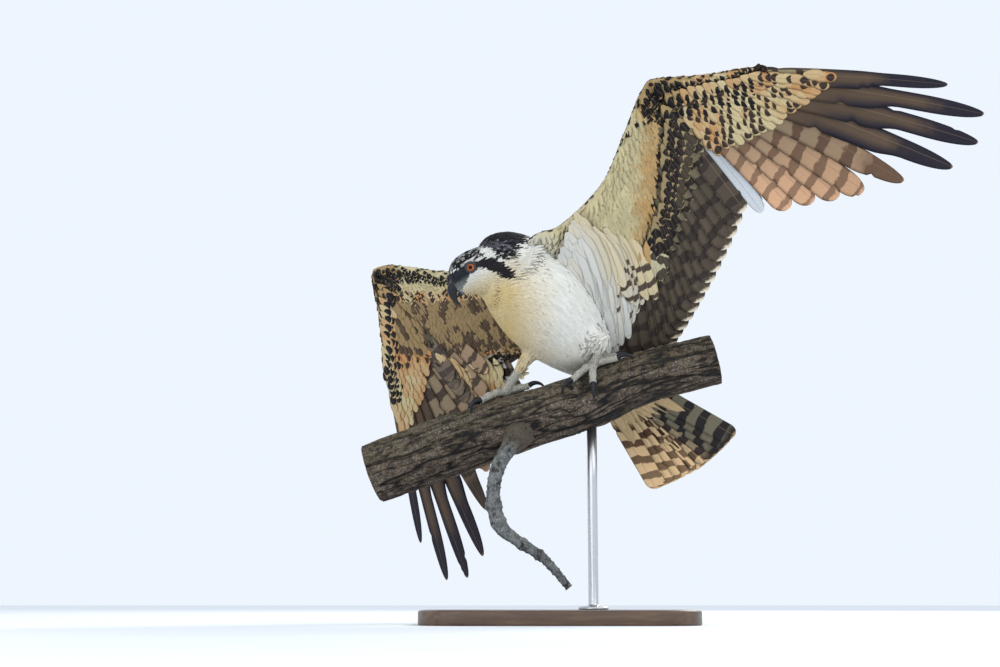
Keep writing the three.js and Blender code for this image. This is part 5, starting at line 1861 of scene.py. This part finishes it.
def steel_material():
    g = Graph("brushed_steel")
    lines = g.noise(60.0, 4.0, g.stretched((1.0, 1.0, 30.0)))
    g.bump(lines, 0.1, 0.0002)
    rough = g.add(g.mul(lines, 0.2), 0.22)
    colour = g.mix(lines, (0.5, 0.51, 0.53, 1), (0.62, 0.63, 0.65, 1))
    return g.finish(colour, rough, 1.0)


_, rod_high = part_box("stand_rod")
# radius and height above its foot, a little above the base
rod_foot = 20.3
flange, shaft = ROD["flange_radius"], ROD["radius"]
profile = [(flange - 0.8, 0), (flange, 0.8), (flange, 3.0), (flange - 1.2, 4.2)]
profile += [(shaft + 3, 5.0), (shaft + 0.8, 6.0), (shaft, 8.0)]
profile += [(shaft, z) for z in (60, 120, 180, rod_high[2] / MM - 20.4)]
angle = np.linspace(0, 2 * math.pi, 48, endpoint=False)
rings = []
for r, z in profile:
    x, y = ROD["at"][0] + r * np.cos(angle), ROD["at"][1] + r * np.sin(angle)
    rings.append(np.stack([x, y, np.full(48, rod_foot + z)], axis=1))
rod = make_object("stand_rod_steel", np.concatenate(rings), loft_faces(len(rings), 48), [steel_material()])
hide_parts("stand_rod")


# Floor, light and camera
def flat_material(name, colour, roughness):
    g = Graph(name)
    darker = (*(c * 0.9 for c in colour), 1)
    return g.finish(g.mix(g.mul(g.noise(3.0, 2.0), 0.06), (*colour, 1), darker), roughness)


floor_mesh = bpy.data.meshes.new("floor")
floor_mesh.from_pydata([(-12, -6, 0), (12, -6, 0), (12, 14, 0), (-12, 14, 0)], [], [(0, 1, 2, 3)])
floor_mesh.materials.append(flat_material("pale_floor", (0.82, 0.85, 0.88), 0.9))
floor = bpy.data.objects.new("floor", floor_mesh)
bpy.context.scene.collection.objects.link(floor)

world = bpy.data.worlds.new("studio")
world.use_nodes = True
world.node_tree.nodes["Background"].inputs["Color"].default_value = (0.862, 0.922, 1.0, 1)
world.node_tree.nodes["Background"].inputs["Strength"].default_value = 0.99
bpy.context.scene.world = world


def area_light(name, at, toward, size, power, colour):
    """A round lamp at one place that shines toward another, in metres and watts."""
    data = bpy.data.lights.new(name, "AREA")
    data.shape = "DISK"
    data.size = size
    data.energy = power
    data.color = colour
    lamp = bpy.data.objects.new(name, data)
    lamp.location = at
    lamp.rotation_euler = (Vector(toward) - Vector(at)).to_track_quat("-Z", "Y").to_euler()
    bpy.context.scene.collection.objects.link(lamp)


area_light("key_high_right", (2.0, -2.2, 2.6), (0.0, 0.0, 0.45), 3.4, 36, (1.0, 0.99, 0.97))
area_light("back_high", (1.6, 2.4, 2.2), (0.1, 0.0, 0.5), 1.2, 60, (1.0, 0.95, 0.86))
area_light("fill_front", (-1.6, -2.6, 1.0), (0.0, 0.0, 0.45), 3.0, 24, (1.0, 0.98, 0.94))

camera_data = bpy.data.cameras.new("camera")
camera_data.sensor_width = 36
camera_data.lens = 54.94
camera_data.clip_start = 0.01
camera_data.clip_end = 100
camera = bpy.data.objects.new("camera", camera_data)
camera.location = (-0.08, -2.15, 0.03)
camera.rotation_euler = (math.radians(100), 0, 0)
bpy.context.scene.collection.objects.link(camera)
bpy.context.scene.camera = camera
bpy.context.scene.view_settings.view_transform = "Standard"
